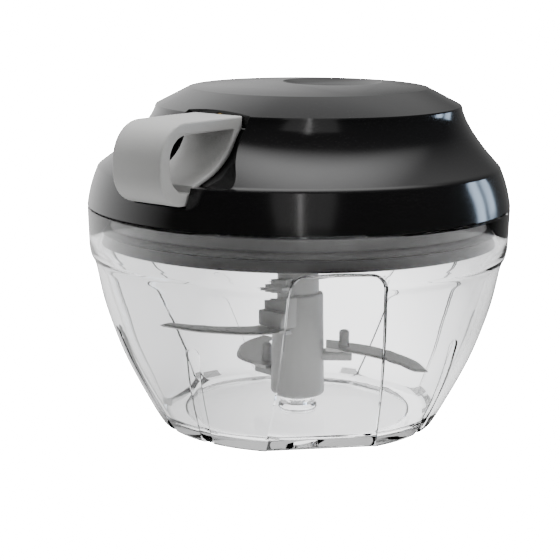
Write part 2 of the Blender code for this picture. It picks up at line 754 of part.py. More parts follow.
def build_cover():
    cover = loft("top_cover", cover_rings(0.0), plastic("cover_black", BLACK_PLASTIC, 0.2))
    dish_x = DECK_X + DISH_PLACE * cos(DECK_AZIMUTH)
    dish_y = DECK_Y + DISH_PLACE * sin(DECK_AZIMUTH)
    dish_floor = TOP_HEIGHT - DISH_DEPTH
    dish = [(0, dish_floor), (DISH_RADIUS * HALF, dish_floor + DISH_DEPTH * HALF * HALF)]
    dish += [(DISH_RADIUS, TOP_HEIGHT), (DISH_RADIUS, TOP_HEIGHT + OVERRUN), (0, TOP_HEIGHT + OVERRUN)]
    cut(cover, turned("thumb_dish", dish, segments=ROUND_SEGMENTS // 2, centre=(dish_x, dish_y)))

    cavity = loft("cover_cavity", cover_rings(LID_WALL))
    under_dish = [(radius + LID_WALL, height - LID_WALL) for radius, height in dish[1:-1]]
    under_dish = [(0, dish_floor - LID_WALL)] + under_dish + [(0, TOP_HEIGHT + OVERRUN)]
    cut(cavity, turned("dish_back", under_dish, segments=ROUND_SEGMENTS // 2, centre=(dish_x, dish_y)))
    cut(cavity, pocket_tool("pocket_back", LID_WALL))
    cut(cavity, notch_tool("notch_back", LID_WALL))
    room_end = POCKET_REAR - LID_WALL + GAP * HALF
    flange_room = disc_outline(EYELET_FLANGE + GAP, EYELET_INNER - OVERRUN, room_end)
    weld(cavity, along_reach("eyelet_room", flange_room))
    arbor_bottom = GROOVE_FLOOR + GAP
    arbor = drilled_outline(AXLE_RADIUS + GAP, ARBOR_RADIUS, arbor_bottom, CEILING, TOP_HEIGHT)
    cut(cavity, turned("spring_arbor", arbor, segments=SMALL_SEGMENTS))
    pilot = SCREW_RADIUS + GAP
    plate_hole_top = PLATE_HEIGHT + SCREW_LENGTH
    plate_post = drilled_outline(pilot, SCREW_BOSS, PLATE_TOP + GAP, plate_hole_top, TOP_HEIGHT)
    plate_ring = spots(PLATE_SCREW_COUNT, PLATE_SCREW_PLACE, PLATE_SCREW_TURN)
    cut(cavity, ring_of("plate_posts", plate_ring, plate_post))
    base_post_bottom = LID_BOTTOM + BASE_PLATE + GAP * 2
    base_hole_top = LID_BOTTOM + SCREW_LENGTH
    base_post = drilled_outline(pilot, SCREW_BOSS, base_post_bottom, base_hole_top, TOP_HEIGHT)
    base_ring = spots(BASE_SCREW_COUNT, BASE_SCREW_PLACE, BASE_SCREW_TURN)
    cut(cavity, ring_of("base_posts", base_ring, base_post))
    cut(cover, cavity)
    cut(cover, pocket_tool("handle_pocket", 0.0))
    cut(cover, notch_tool("arm_notch", 0.0))
    cut(cover, cord_hole())
    return cover


def along_reach(name, outline, material=None, segments=SMALL_SEGMENTS):
    """Turn an outline of radius and reach about the cord's line, which runs towards -Y."""
    piece = turned(name, outline, material, segments)
    piece.data.transform(Matrix.Rotation(pi * HALF, 4, "X"))
    piece.data.transform(Matrix.Translation((0.0, 0.0, CORD_HEIGHT)))
    return piece


def cord_hole():
    outline = disc_outline(EYELET_RADIUS + GAP, EYELET_INNER - OVERRUN, HANDLE_REAR)
    return along_reach("eyelet_hole", outline)


# Handle and cord

def rounded_corner(reach, height, radius, start_angle):
    """Points round a corner whose arc is centred at reach and height."""
    points = []
    for i in range(ROUND_STEPS + 1):
        angle = start_angle - pi * HALF * i / ROUND_STEPS
        points.append((reach + radius * cos(angle), height + radius * sin(angle)))
    return points


def build_handle():
    reach = HANDLE_REACH
    top_round = HANDLE_TOP_ROUND
    low_round = HANDLE_BOTTOM_ROUND
    outer = [(HANDLE_REAR, HANDLE_TOP)]
    outer += rounded_corner(reach - top_round, HANDLE_TOP - top_round, top_round, pi * HALF)
    outer += rounded_corner(reach - low_round, HANDLE_BOTTOM + low_round, low_round, 0.0)
    outer += [(LOWER_ARM_INNER, HANDLE_BOTTOM)]
    outer += list(reversed(plate_curve()))
    grey = plastic("handle_grey", LIGHT_PLASTIC, 0.4)
    handle = side_prism("pull_handle", outer, HANDLE_WIDTH * HALF, grey)

    front = reach - HANDLE_GRIP - HOLE_ROUND
    inner = [(point[0], point[1]) for point in plate_curve(HANDLE_PLATE * 2)[:1]]
    inner += rounded_corner(front, HOLE_TOP - HOLE_ROUND, HOLE_ROUND, pi * HALF)
    inner += rounded_corner(front, HOLE_FLOOR + HOLE_ROUND, HOLE_ROUND, 0.0)
    inner += [(LOWER_ARM_INNER + GAP, HOLE_FLOOR)]
    inner += [(out + HANDLE_PLATE, up + HANDLE_PLATE * HALF) for out, up in reversed(plate_curve()[1:-1])]
    hole = side_prism("finger_hole", inner, HANDLE_WIDTH)
    cut(handle, hole)

    bore = disc_outline(CORD_BORE, HANDLE_REAR - OVERRUN, KNOT_PLACE)
    cut(handle, along_reach("cord_bore", bore, segments=SMALL_SEGMENTS // 2))
    knot_half = KNOT_LENGTH * HALF + GAP
    low = (-KNOT_POCKET_HALF, -KNOT_PLACE - knot_half, HOLE_TOP - OVERRUN)
    high = (KNOT_POCKET_HALF, -KNOT_PLACE + knot_half, CORD_HEIGHT + KNOT_RADIUS + GAP)
    cut(handle, box("knot_pocket", low, high))
    return handle


def build_pull_cord(fibre):
    start = HANDLE_REAR
    knot_start = KNOT_PLACE - KNOT_LENGTH * HALF
    outline = [(0, start), (CORD_RADIUS, start), (CORD_RADIUS, knot_start)]
    outline += [(KNOT_RADIUS, knot_start + KNOT_LENGTH * HALF * HALF)]
    outline += [(KNOT_RADIUS, KNOT_PLACE + KNOT_LENGTH * HALF * HALF)]
    outline += [(CORD_RADIUS, KNOT_PLACE + KNOT_LENGTH * HALF), (0, KNOT_PLACE + KNOT_LENGTH * HALF)]
    along_reach("pull_cord", outline, fibre, SMALL_SEGMENTS // 2)


def build_eyelet():
    flange_end = EYELET_INNER + EYELET_FLANGE_THICKNESS
    outline = [(EYELET_BORE, EYELET_INNER), (EYELET_FLANGE, EYELET_INNER), (EYELET_FLANGE, flange_end)]
    outline += [(EYELET_RADIUS, flange_end), (EYELET_RADIUS, EYELET_OUTER), (EYELET_BORE, EYELET_OUTER)]
    along_reach("cord_eyelet", outline, metal("eyelet_brass", BRASS))


def tube_along(name, points, material):
    """A round cord through the points, with closed ends."""
    curve = bpy.data.curves.new(name, "CURVE")
    curve.dimensions = "3D"
    curve.bevel_depth = CORD_RADIUS
    curve.bevel_resolution = 1
    curve.use_fill_caps = True
    spline = curve.splines.new("POLY")
    spline.points.add(len(points) - 1)
    for knot, point in zip(spline.points, points):
        knot.co = (*point, 1.0)
    curve.materials.append(material)
    cord = bpy.data.objects.new(name, curve)
    bpy.context.scene.collection.objects.link(cord)
    return cord


def build_winding(fibre):
    """The cord on the drum, one flat spiral, and its straight lead to the eyelet."""
    leave = -pi * HALF - acos(WINDING_END / EYELET_INNER)
    steps = round(WINDING_STEPS * WINDING_TURNS)
    points = []
    for i in range(steps + 1):
        back = (steps - i) / WINDING_STEPS
        radius = WINDING_END - WINDING_PITCH * back
        x, y = polar(radius, leave - tau * back)
        points.append((x, y, CORD_HEIGHT))
    tube_along("cord_winding", points, fibre)
    gap_to_itself = WINDING_PITCH - CORD_RADIUS * 2
    print(f"cord winding: least gap to itself {gap_to_itself * 1000:.2f} mm")

    start = polar(WINDING_END, leave)
    end = (0.0, -HANDLE_REAR + GAP)
    reach = sqrt((end[0] - start[0]) ** 2 + (end[1] - start[1]) ** 2)
    lead = []
    for step in range(LEAD_STEPS + 1):
        share = max(GAP / reach, step / LEAD_STEPS)
        lead.append((start[0] * (1 - share), start[1] + (-EYELET_INNER - start[1]) * share, CORD_HEIGHT))
    lead.append((0.0, end[1], CORD_HEIGHT))
    tube_along("cord_lead", lead, fibre)


# Lid base, seal and bearing plate

def build_lid_base():
    plate_low = LID_BOTTOM + GAP
    plate_high = plate_low + BASE_PLATE
    skirt_inner = SKIRT_RADIUS - SKIRT_WALL
    hub_hole = HUB_RADIUS + RUNNING_GAP + BUSH_WALL + GAP
    seal_low = SEAL_HEIGHT - GAP
    seal_high = SEAL_HEIGHT + SEAL_WIDTH + GAP
    groove = SKIRT_RADIUS - SEAL_GROOVE
    outline = [(hub_hole, plate_low), (skirt_inner, plate_low), (skirt_inner, SKIRT_BOTTOM)]
    outline += [(SKIRT_RADIUS, SKIRT_BOTTOM), (SKIRT_RADIUS, seal_low), (groove, seal_low)]
    outline += [(groove, seal_high), (SKIRT_RADIUS, seal_high)]
    outline += [(SKIRT_RADIUS, plate_low), (BASE_PLATE_RADIUS, plate_low)]
    outline += [(BASE_PLATE_RADIUS, plate_high), (hub_hole, plate_high)]
    base = turned("lid_base", outline, plastic("base_grey", DARK_PLASTIC, 0.3))
    ring = spots(BASE_SCREW_COUNT, BASE_SCREW_PLACE, BASE_SCREW_TURN)
    hole = disc_outline(SCREW_RADIUS + GAP, plate_low - OVERRUN, plate_high + OVERRUN)
    cut(base, ring_of("base_holes", ring, hole))

    seal_inner = groove + GAP
    seal_outer = BOWL_INSIDE - GAP
    middle = SEAL_HEIGHT + SEAL_WIDTH * HALF
    ridge = SEAL_WIDTH * HALF * HALF
    seal = [(seal_inner, SEAL_HEIGHT), (SKIRT_RADIUS, SEAL_HEIGHT), (seal_outer, middle - ridge)]
    seal += [(seal_outer, middle + ridge), (SKIRT_RADIUS, SEAL_HEIGHT + SEAL_WIDTH)]
    seal += [(seal_inner, SEAL_HEIGHT + SEAL_WIDTH)]
    turned("lid_seal", seal, make_material("seal_silicone", SILICONE, 0.6))

    bore = HUB_RADIUS + RUNNING_GAP
    outer = bore + BUSH_WALL
    flange = outer + BUSH_FLANGE
    flange_low = plate_high + GAP
    flange_high = flange_low + BUSH_FLANGE_THICKNESS
    bush = [(bore, plate_low), (outer, plate_low), (outer, flange_low), (flange, flange_low)]
    bush += [(flange, flange_high), (bore, flange_high)]
    turned("hub_bush", bush, plastic("bush_white", WHITE_PLASTIC), ROUND_SEGMENTS // 2)


def build_bearing_plate():
    hole = HUB_RADIUS + RUNNING_GAP
    outline = tube_outline(hole, PLATE_RADIUS, PLATE_HEIGHT, PLATE_TOP)
    plate = turned("bearing_plate", outline, plastic("plate_grey", DARK_PLASTIC))
    ring = spots(PLATE_SCREW_COUNT, PLATE_SCREW_PLACE, PLATE_SCREW_TURN)
    screw_hole = disc_outline(SCREW_RADIUS + GAP, PLATE_HEIGHT - OVERRUN, PLATE_TOP + OVERRUN)
    cut(plate, ring_of("plate_holes", ring, screw_hole))
    return plate


def build_screw(name, x, y, angle, face, material):
    """A screw driven upwards, its head under the face that it holds."""
    head_bottom = face - GAP - SCREW_HEAD
    head_top = face - GAP
    tip = head_top + SCREW_LENGTH - GAP
    outline = [(0, head_bottom), (SCREW_HEAD_RADIUS - SCREW_SLOT * HALF, head_bottom)]
    outline += [(SCREW_HEAD_RADIUS, head_bottom + SCREW_SLOT * HALF), (SCREW_HEAD_RADIUS, head_top)]
    outline += [(SCREW_RADIUS, head_top), (SCREW_RADIUS, tip - SCREW_RADIUS)]
    outline += [(SCREW_RADIUS * HALF, tip), (0, tip)]
    screw = turned(name, outline, material, SMALL_SEGMENTS // 2)
    half = SCREW_SLOT * HALF
    reach = SCREW_HEAD_RADIUS + OVERRUN
    slot_low = (-reach, -half, head_bottom - OVERRUN)
    slot_high = (reach, half, head_bottom + SCREW_HEAD * HALF)
    slot = box(f"{name}_slot", slot_low, slot_high)
    for piece in (screw, slot):
        turn_about_z(piece, angle)
        piece.data.transform(Matrix.Translation((x, y, 0.0)))
    cut(screw, slot)


def build_screws():
    steel = metal("screw_steel")
    for i, (angle, x, y) in enumerate(spots(PLATE_SCREW_COUNT, PLATE_SCREW_PLACE, PLATE_SCREW_TURN)):
        build_screw(f"plate_screw_{i + 1}", x, y, angle, PLATE_HEIGHT, steel)
    for i, (angle, x, y) in enumerate(spots(BASE_SCREW_COUNT, BASE_SCREW_PLACE, BASE_SCREW_TURN)):
        build_screw(f"base_screw_{i + 1}", x, y, angle, LID_BOTTOM + GAP, steel)


# Drive hub, reel, spring, axle and pawls

def ratchet_outline():
    """Saw teeth. Each has a radial face just ahead of a pawl's nose, then falls slowly to the root."""
    face = PAWL_AZIMUTH + PAWL_NOSE_AHEAD + GAP / RATCHET_ROOT
    points = []
    for tooth in range(RATCHET_TEETH):
        start = face + tau * tooth / RATCHET_TEETH
        for step in range(RATCHET_ARC_STEPS + 1):
            share = step / RATCHET_ARC_STEPS
            angle = start + tau / RATCHET_TEETH * share
            points.append(polar(RATCHET_TIP + (RATCHET_ROOT - RATCHET_TIP) * share, angle))
    return points


def build_hub():
    collar_low = PLATE_TOP + GAP
    collar_high = collar_low + HUB_COLLAR_THICKNESS
    outline = [(0, HUB_BOTTOM), (HUB_RADIUS, HUB_BOTTOM), (HUB_RADIUS, collar_low)]
    outline += [(HUB_COLLAR, collar_low), (HUB_COLLAR, collar_high), (HUB_RADIUS, collar_high)]
    outline += [(HUB_RADIUS, RATCHET_BOTTOM + GAP), (0, RATCHET_BOTTOM + GAP)]
    hub = turned("drive_hub", outline, plastic("hub_white", WHITE_PLASTIC), ROUND_SEGMENTS // 2)
    weld(hub, prism("ratchet", ratchet_outline(), RATCHET_BOTTOM, RATCHET_TOP))
    socket = [(x, y) for x, y, height in circle(HEX_RADIUS + GAP, 0.0, 6)]
    cut(hub, prism("hex_socket", socket, HUB_BOTTOM - OVERRUN, HEX_TOP + GAP * 2))
    bore = disc_outline(AXLE_RADIUS + RUNNING_GAP, AXLE_BOTTOM - GAP, RATCHET_TOP + OVERRUN)
    cut(hub, turned("hub_bore", bore, segments=SMALL_SEGMENTS))
    return hub


def pawl_spots():
    return spots(PAWL_COUNT, PAWL_PLACE, PAWL_AZIMUTH)


def build_reel():
    inner = DRUM_RADIUS - DRUM_WALL
    groove_top = GROOVE_FLOOR + GROOVE_HEIGHT
    bore = AXLE_RADIUS + RUNNING_GAP
    outline = [(bore, WEB_HEIGHT), (REEL_RADIUS, WEB_HEIGHT), (REEL_RADIUS, GROOVE_FLOOR)]
    outline += [(DRUM_RADIUS, GROOVE_FLOOR), (DRUM_RADIUS, groove_top), (REEL_RADIUS, groove_top)]
    outline += [(REEL_RADIUS, REEL_TOP), (inner, REEL_TOP), (inner, GROOVE_FLOOR), (bore, GROOVE_FLOOR)]
    reel = turned("reel", outline, plastic("reel_white", WHITE_PLASTIC))
    depth = WEB_THICKNESS * HALF
    seats = []
    for i, (angle, x, y) in enumerate(pawl_spots()):
        seat = disc_outline(PAWL_PIN_RADIUS + GAP, WEB_HEIGHT - OVERRUN, WEB_HEIGHT + depth)
        seats.append(turned(f"pawl_seat_{i + 1}", seat, segments=SMALL_SEGMENTS // 2, centre=(x, y)))
    cut(reel, joined("pawl_seats", seats))
    return reel


def build_spring():
    """A flat spiral of steel ribbon between the arbor and the drum."""
    start = ARBOR_RADIUS + GAP + SPRING_THICKNESS * HALF
    end = DRUM_RADIUS - DRUM_WALL - GAP - SPRING_THICKNESS * HALF
    low = GROOVE_FLOOR + GAP
    high = low + SPRING_WIDTH
    half = SPRING_THICKNESS * HALF
    steps = round(SPRING_TURNS * SPRING_STEPS)
    rings = []
    for i in range(steps + 1):
        share = i / steps
        angle = tau * SPRING_TURNS * share
        radius = start + (end - start) * share
        inner = polar(radius - half, angle)
        outer = polar(radius + half, angle)
        rings.append(((*inner, low), (*outer, low), (*outer, high), (*inner, high)))
    loft("recoil_spring", rings, metal("spring_steel"))
    cover_low = high + GAP
    inside = ARBOR_RADIUS + GAP
    ring = tube_outline(inside, end, cover_low, cover_low + SPRING_COVER_THICKNESS)
    turned("spring_cover", ring, plastic("spring_cover_grey", DARK_PLASTIC), ROUND_SEGMENTS // 2)


def build_axle():
    steel = metal("axle_steel")
    top = CEILING - GAP
    outline = [(0, AXLE_BOTTOM), (AXLE_RADIUS, AXLE_BOTTOM), (AXLE_RADIUS, top), (0, top)]
    turned("reel_axle", outline, steel, SMALL_SEGMENTS)
    low = RATCHET_TOP + GAP
    inside = AXLE_RADIUS + RUNNING_GAP
    ring = tube_outline(inside, AXLE_WASHER_RADIUS, low, low + AXLE_WASHER_THICKNESS)
    turned("axle_washer", ring, metal("axle_washer_steel"), SMALL_SEGMENTS)


def build_pawls():
    """Each pawl pivots under the reel, and its nose pushes on the face of a ratchet tooth."""
    steel = metal("pawl_steel")
    low = RATCHET_BOTTOM
    high = RATCHET_TOP
    nose = RATCHET_ROOT + GAP * 2
    outer = PAWL_PLACE + PAWL_HALF
    inner = PAWL_PLACE - PAWL_HALF
    outline = [(outer, -PAWL_HALF), (outer, PAWL_HALF), polar(nose + PAWL_HALF, PAWL_NOSE_AHEAD)]
    outline += [polar(nose, PAWL_NOSE_AHEAD), (inner, -PAWL_HALF * HALF), (inner, -PAWL_HALF)]
    for i, (angle, x, y) in enumerate(pawl_spots()):
        pawl = turn_about_z(prism(f"pawl_{i + 1}", outline, low, high, steel), angle)
        hole = disc_outline(PAWL_PIN_RADIUS + RUNNING_GAP, low - OVERRUN, high + OVERRUN)
        cut(pawl, turned(f"pawl_hole_{i + 1}", hole, segments=SMALL_SEGMENTS // 2, centre=(x, y)))
        set_pivot(pawl, (x, y, 0.0))
        build_pawl_pin(f"pawl_pin_{i + 1}", x, y, low)


def build_pawl_pin(name, x, y, pawl_low):
    head_top = pawl_low - GAP
    head_low = head_top - PAWL_PIN_HEAD_THICKNESS
    top = WEB_HEIGHT + WEB_THICKNESS * HALF - GAP
    outline = [(0, head_low), (PAWL_PIN_HEAD, head_low), (PAWL_PIN_HEAD, head_top)]
    outline += [(PAWL_PIN_RADIUS, head_top), (PAWL_PIN_RADIUS, top), (0, top)]
    turned(name, outline, metal(f"{name}_steel"), SMALL_SEGMENTS // 2, (x, y))


def clear_scene():
    for thing in list(bpy.data.objects):
        bpy.data.objects.remove(thing)


def main():
    clear_scene()
    build_bowl()
    build_pivot()
    build_spindle()
    build_blades()
    build_cover()
    build_handle()
    fibre = plastic("cord_fibre", CORD_COLOUR, 0.8)
    build_pull_cord(fibre)
    build_winding(fibre)
    build_eyelet()
    build_lid_base()
    build_bearing_plate()
    build_screws()
    build_hub()
    build_reel()
    build_spring()
    build_axle()
    build_pawls()


main()
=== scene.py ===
# %% [markdown]
# # A pull-cord food chopper, dressed for its portrait
# The imported model gives every part its place and its motion. This lesson adds what the eye reads: a clear
# moulded bowl, a black lid with soft edges, a satin handle, ground blades and a braided cord. We load the
# imported model first. Nothing that we add may outgrow it.

# %% Load the frame
from math import acos, cos, hypot, pi, radians, sin, sqrt, tau

import bpy
from mathutils import Matrix, Vector


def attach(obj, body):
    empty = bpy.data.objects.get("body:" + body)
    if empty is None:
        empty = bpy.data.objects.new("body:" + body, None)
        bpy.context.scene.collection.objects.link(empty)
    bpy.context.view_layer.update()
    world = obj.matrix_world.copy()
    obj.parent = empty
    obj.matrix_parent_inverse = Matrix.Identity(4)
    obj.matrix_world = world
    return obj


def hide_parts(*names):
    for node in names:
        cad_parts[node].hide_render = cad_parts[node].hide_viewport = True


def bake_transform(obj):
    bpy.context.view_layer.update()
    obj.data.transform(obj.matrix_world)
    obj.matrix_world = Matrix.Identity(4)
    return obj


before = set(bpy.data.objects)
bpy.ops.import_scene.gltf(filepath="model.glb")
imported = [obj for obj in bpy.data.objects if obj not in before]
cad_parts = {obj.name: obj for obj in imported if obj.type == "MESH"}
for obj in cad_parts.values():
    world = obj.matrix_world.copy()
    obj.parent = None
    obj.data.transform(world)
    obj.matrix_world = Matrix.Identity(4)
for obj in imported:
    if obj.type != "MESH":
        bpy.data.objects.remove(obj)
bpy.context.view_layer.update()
bpy.ops.object.select_all(action="DESELECT")

# %% [markdown]
# ## The camera
# The round edges of the lid and bowl are ellipses in a photograph, and their flatness tells how high the
# camera stood. It was half a metre away, a little above the lid, and it looked down by eleven degrees.

# %% Camera
MM = 0.001
CAMERA_AZIMUTH = radians(38)
CAMERA_DISTANCE = 505.9 * MM
CAMERA_HEIGHT = 145.5 * MM
CAMERA_PITCH = 0.1988
CAMERA_YAW = 0.0111
CAMERA_ROLL = 0.0057
FOCAL_PIXELS = 1650.5
PHOTO_SIDE = 560

camera_data = bpy.data.cameras.new("camera")
camera_data.sensor_width = 36
camera_data.lens = FOCAL_PIXELS / PHOTO_SIDE * camera_data.sensor_width
camera_data.clip_start = 0.01
camera = bpy.data.objects.new("camera", camera_data)
bpy.context.scene.collection.objects.link(camera)
bpy.context.scene.camera = camera
toward_camera = Vector((sin(CAMERA_AZIMUTH), -cos(CAMERA_AZIMUTH), 0))
camera.location = toward_camera * CAMERA_DISTANCE + Vector((0, 0, CAMERA_HEIGHT))
turn = Matrix.Rotation(CAMERA_AZIMUTH + CAMERA_YAW, 4, "Z")
tilt = Matrix.Rotation(pi / 2 - CAMERA_PITCH, 4, "X")
camera.rotation_euler = (turn @ tilt @ Matrix.Rotation(CAMERA_ROLL, 4, "Z")).to_euler()
print("lens, mm:", round(camera_data.lens, 1))

# %% [markdown]
# ## Helpers for modelling
# Most parts of a chopper are turned shapes, so one helper does most of the work: it adds a circle, then
# extrudes, moves and scales its edge ring by ring up an outline, as you would by hand with E, G and S.
# A lathe-like spin would do too, but rings can also shift sideways, which the lid's off-centre deck needs.

# %% Modelling helpers
MERGE_DISTANCE = 1e-7
TOLERANCE = 1e-6
TINY = 1e-9


def only(thing):
    """Make one object the selected and active one."""
    bpy.ops.object.select_all(action="DESELECT")
    thing.select_set(True)
    bpy.context.view_layer.objects.active = thing
    return thing


def edit(thing, kind="VERT"):
    """Open a mesh for editing, with all of it selected."""
    only(thing)
    bpy.ops.object.mode_set(mode="EDIT")
    bpy.ops.mesh.select_mode(type=kind)
    bpy.ops.mesh.select_all(action="SELECT")


def leave():
    bpy.ops.object.mode_set(mode="OBJECT")


def choose(thing, kind, wanted):
    """Open a mesh for editing, with only those vertices or faces selected that pass a test."""
    edit(thing, kind)
    bpy.ops.mesh.select_all(action="DESELECT")
    leave()
    for item in thing.data.vertices if kind == "VERT" else thing.data.polygons:
        item.select = wanted(item)
    bpy.ops.object.mode_set(mode="EDIT")


def apply_all(thing):
    only(thing)
    for modifier in list(thing.modifiers):
        bpy.ops.object.modifier_apply(modifier=modifier.name)
    return thing


def at_origin(thing):
    """Put the object's place, turn and size into its mesh."""
    only(thing)
    bpy.ops.object.transform_apply(location=True, rotation=True, scale=True)
    return thing


def outward(thing):
    edit(thing)
    bpy.ops.mesh.remove_doubles(threshold=MERGE_DISTANCE)
    bpy.ops.mesh.normals_make_consistent(inside=False)
    leave()
    return thing


def smooth(thing, angle=radians(35)):
    only(thing)
    bpy.ops.object.shade_smooth_by_angle(angle=angle)
    return thing


def step_ring(centre, size, next_centre, next_size):
    """Extrude the selected edge ring to its next place, then scale it there."""
    move = tuple(b - a for a, b in zip(centre, next_centre))
    bpy.ops.mesh.extrude_region_move(TRANSFORM_OT_translate={"value": move})
    share = tuple(b / a for a, b in zip(size, next_size))
    bpy.ops.transform.resize(value=(share[0], share[1], 1), center_override=next_centre)


def stack(name, rings, segments, closed=False):
    """Stack rings, each (x, y, z, radius), into a skin. A closed stack joins its last ring to its first."""
    x, y, z, radius = rings[0]
    bpy.ops.mesh.primitive_circle_add(vertices=segments, radius=radius, location=(x, y, z))
    thing = at_origin(bpy.context.object)
    thing.name = name
    edit(thing, "EDGE")
    if not closed:
        bpy.ops.mesh.edge_face_add()
    for before, after in zip(rings, rings[1:]):
        step_ring(before[:3], (before[3],) * 2, after[:3], (after[3],) * 2)
    if closed:
        bpy.ops.mesh.select_all(action="DESELECT")
        bpy.ops.mesh.select_non_manifold()
        bpy.ops.mesh.bridge_edge_loops()
    leave()
    return outward(thing)


def even(steps):
    """Even shares from nought to one."""
    return [i / steps for i in range(steps + 1)]


def arc(x, y, radius, start, end, steps):
    """Points round a centre, from the start angle to the end angle."""
    angles = [start + (end - start) * share for share in even(steps)]
    return [(x + radius * cos(angle), y + radius * sin(angle)) for angle in angles]


def turned(name, outline, segments=96, centre=(0, 0), closed=True):
    rings = [(centre[0], centre[1], height, radius) for radius, height in outline]
    return stack(name, rings, segments, closed)


def cut(thing, tool, operation="DIFFERENCE"):
    modifier = thing.modifiers.new("cut", "BOOLEAN")
    modifier.operation = operation
    modifier.solver = "EXACT"
    modifier.object = tool
    apply_all(thing)
    bpy.data.objects.remove(tool)
    return thing


def drill(thing, outline, segments, centre=(0, 0)):
    """Cut a turned hole out of a piece."""
    return cut(thing, turned("drill", outline, segments, centre, closed=False))


def bevel(thing, width, steps=2, angle=radians(40)):
    modifier = thing.modifiers.new("edges", "BEVEL")
    modifier.width = width
    modifier.segments = steps
    modifier.limit_method = "ANGLE"
    modifier.angle_limit = angle
    return apply_all(thing)


def dress(thing, material, slot, body, *nodes):
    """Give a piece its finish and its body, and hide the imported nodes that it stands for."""
    if not thing.data.materials:
        thing.data.materials.append(material)
    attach(thing, body)
    if nodes:
        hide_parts(*nodes)
    print(thing.name, len(thing.data.polygons), "faces")
    return thing


# %% [markdown]
# ## Finishes
# Injection-moulded plastic is never quite even: a fine grain from the tool, a faint haze of handling and a
# slightly paler worn edge. These effects are shared by several finishes, so each is a node group with named
# inputs, built once. Every finish is worked out from the piece's own coordinates, in metres.

# %% Node helpers
def new_group(name, inputs, outputs):
    group = bpy.data.node_groups.new(name, "ShaderNodeTree")
    for label, kind, value in inputs:
        socket = group.interface.new_socket(label, in_out="INPUT", socket_type=kind)
        socket.default_value = value
    for label, kind in outputs:
        group.interface.new_socket(label, in_out="OUTPUT", socket_type=kind)
    source = group.nodes.new("NodeGroupInput")
    sink = group.nodes.new("NodeGroupOutput")
    return group, source, sink


def add(tree, kind, **settings):
    node = tree.nodes.new(kind)
    for key, value in settings.items():
        setattr(node, key, value)
    return node


def feed(tree, node, *inputs):
    """Give inputs of a node their values. A value is a number, a colour or another node's output."""
    for label, value in inputs:
        if hasattr(value, "links"):
            tree.links.new(value, node.inputs[label])
        else:
            node.inputs[label].default_value = value
    return node


def math(tree, operation, first, second=0.0):
    node = add(tree, "ShaderNodeMath", operation=operation)
    return feed(tree, node, (0, first), (1, second)).outputs[0]


def noise(tree, place, scale, detail=4.0, roughness=0.55):
    node = add(tree, "ShaderNodeTexNoise")
    feed(tree, node, ("Vector", place), ("Scale", scale), ("Detail", detail), ("Roughness", roughness))
    return node.outputs[0]


def spread(tree, value, low, high, start, end):
    """Map a value between low and high onto start and end."""
    node = add(tree, "ShaderNodeMapRange", clamp=True)
    feed(tree, node, ("Value", value), ("From Min", low), ("From Max", high))
    return feed(tree, node, ("To Min", start), ("To Max", end)).outputs[0]


def blend_colours(tree, share, first, second):
    node = add(tree, "ShaderNodeMix", data_type="RGBA")
    return feed(tree, node, (0, share), (6, first), (7, second)).outputs[2]


def new_material(name):
    material = bpy.data.materials.new(name)
    material.use_nodes = True
    tree = material.node_tree
    return material, tree, tree.nodes["Principled BSDF"]


# %% Moulded plastic: tone, haze and grain
TONE_SCALE = 28.0
SMEAR_SCALE = 90.0
SMEAR_DETAIL = 6.0
GRAIN_SCALE = 2500.0
GRAIN_DETAIL = 2.0
GRAIN_ROUGHNESS = 0.5
TONE_RANGE = (0.3, 0.7)
EDGE_RANGE = (0.52, 0.62)
SMEAR_RANGE = (0.35, 0.7)
WORN_PALE = (0.8, 0.8, 0.8, 1)


def build_mould_group():
    group, source, sink = new_group(
        "moulded_surface",
        [
            ("Colour", "NodeSocketColor", (0.5, 0.5, 0.5, 1)), ("Tone Change", "NodeSocketFloat", 0.1),
            ("Roughness", "NodeSocketFloat", 0.35), ("Haze", "NodeSocketFloat", 0.05),
            ("Worn Edge", "NodeSocketFloat", 0.1),
        ],
        [("Colour", "NodeSocketColor"), ("Roughness", "NodeSocketFloat"), ("Height", "NodeSocketFloat")],
    )
    place = add(group, "ShaderNodeTexCoord").outputs["Object"]
    broad = noise(group, place, TONE_SCALE)
    low = math(group, "SUBTRACT", 1.0, source.outputs["Tone Change"])
    high = math(group, "ADD", 1.0, source.outputs["Tone Change"])
    tone = spread(group, broad, *TONE_RANGE, low, high)
    dark = add(group, "ShaderNodeHueSaturation")
    feed(group, dark, ("Color", source.outputs["Colour"]), ("Value", tone))
    edge = add(group, "ShaderNodeNewGeometry").outputs["Pointiness"]
    worn = math(group, "MULTIPLY", spread(group, edge, *EDGE_RANGE, 0.0, 1.0), source.outputs["Worn Edge"])
    colour = blend_colours(group, worn, dark.outputs[0], WORN_PALE)
    smear = spread(group, noise(group, place, SMEAR_SCALE, SMEAR_DETAIL), *SMEAR_RANGE, 0.0, 1.0)
    haze = math(group, "MULTIPLY", smear, source.outputs["Haze"])
    rough = math(group, "ADD", source.outputs["Roughness"], haze)
    grain = noise(group, place, GRAIN_SCALE, GRAIN_DETAIL, GRAIN_ROUGHNESS)
    feed(group, sink, ("Colour", colour), ("Roughness", rough), ("Height", grain))
    return group


MOULD = build_mould_group()


# %% A material from a shared surface
def add_relief(tree, height, strength, depth):
    """Tilt the light on a surface by a height that changes over it. The surface itself stays."""
    relief = add(tree, "ShaderNodeBump")
    feed(tree, relief, ("Strength", strength), ("Distance", depth), ("Height", height))
    feed(tree, tree.nodes["Principled BSDF"], ("Normal", relief.outputs[0]))


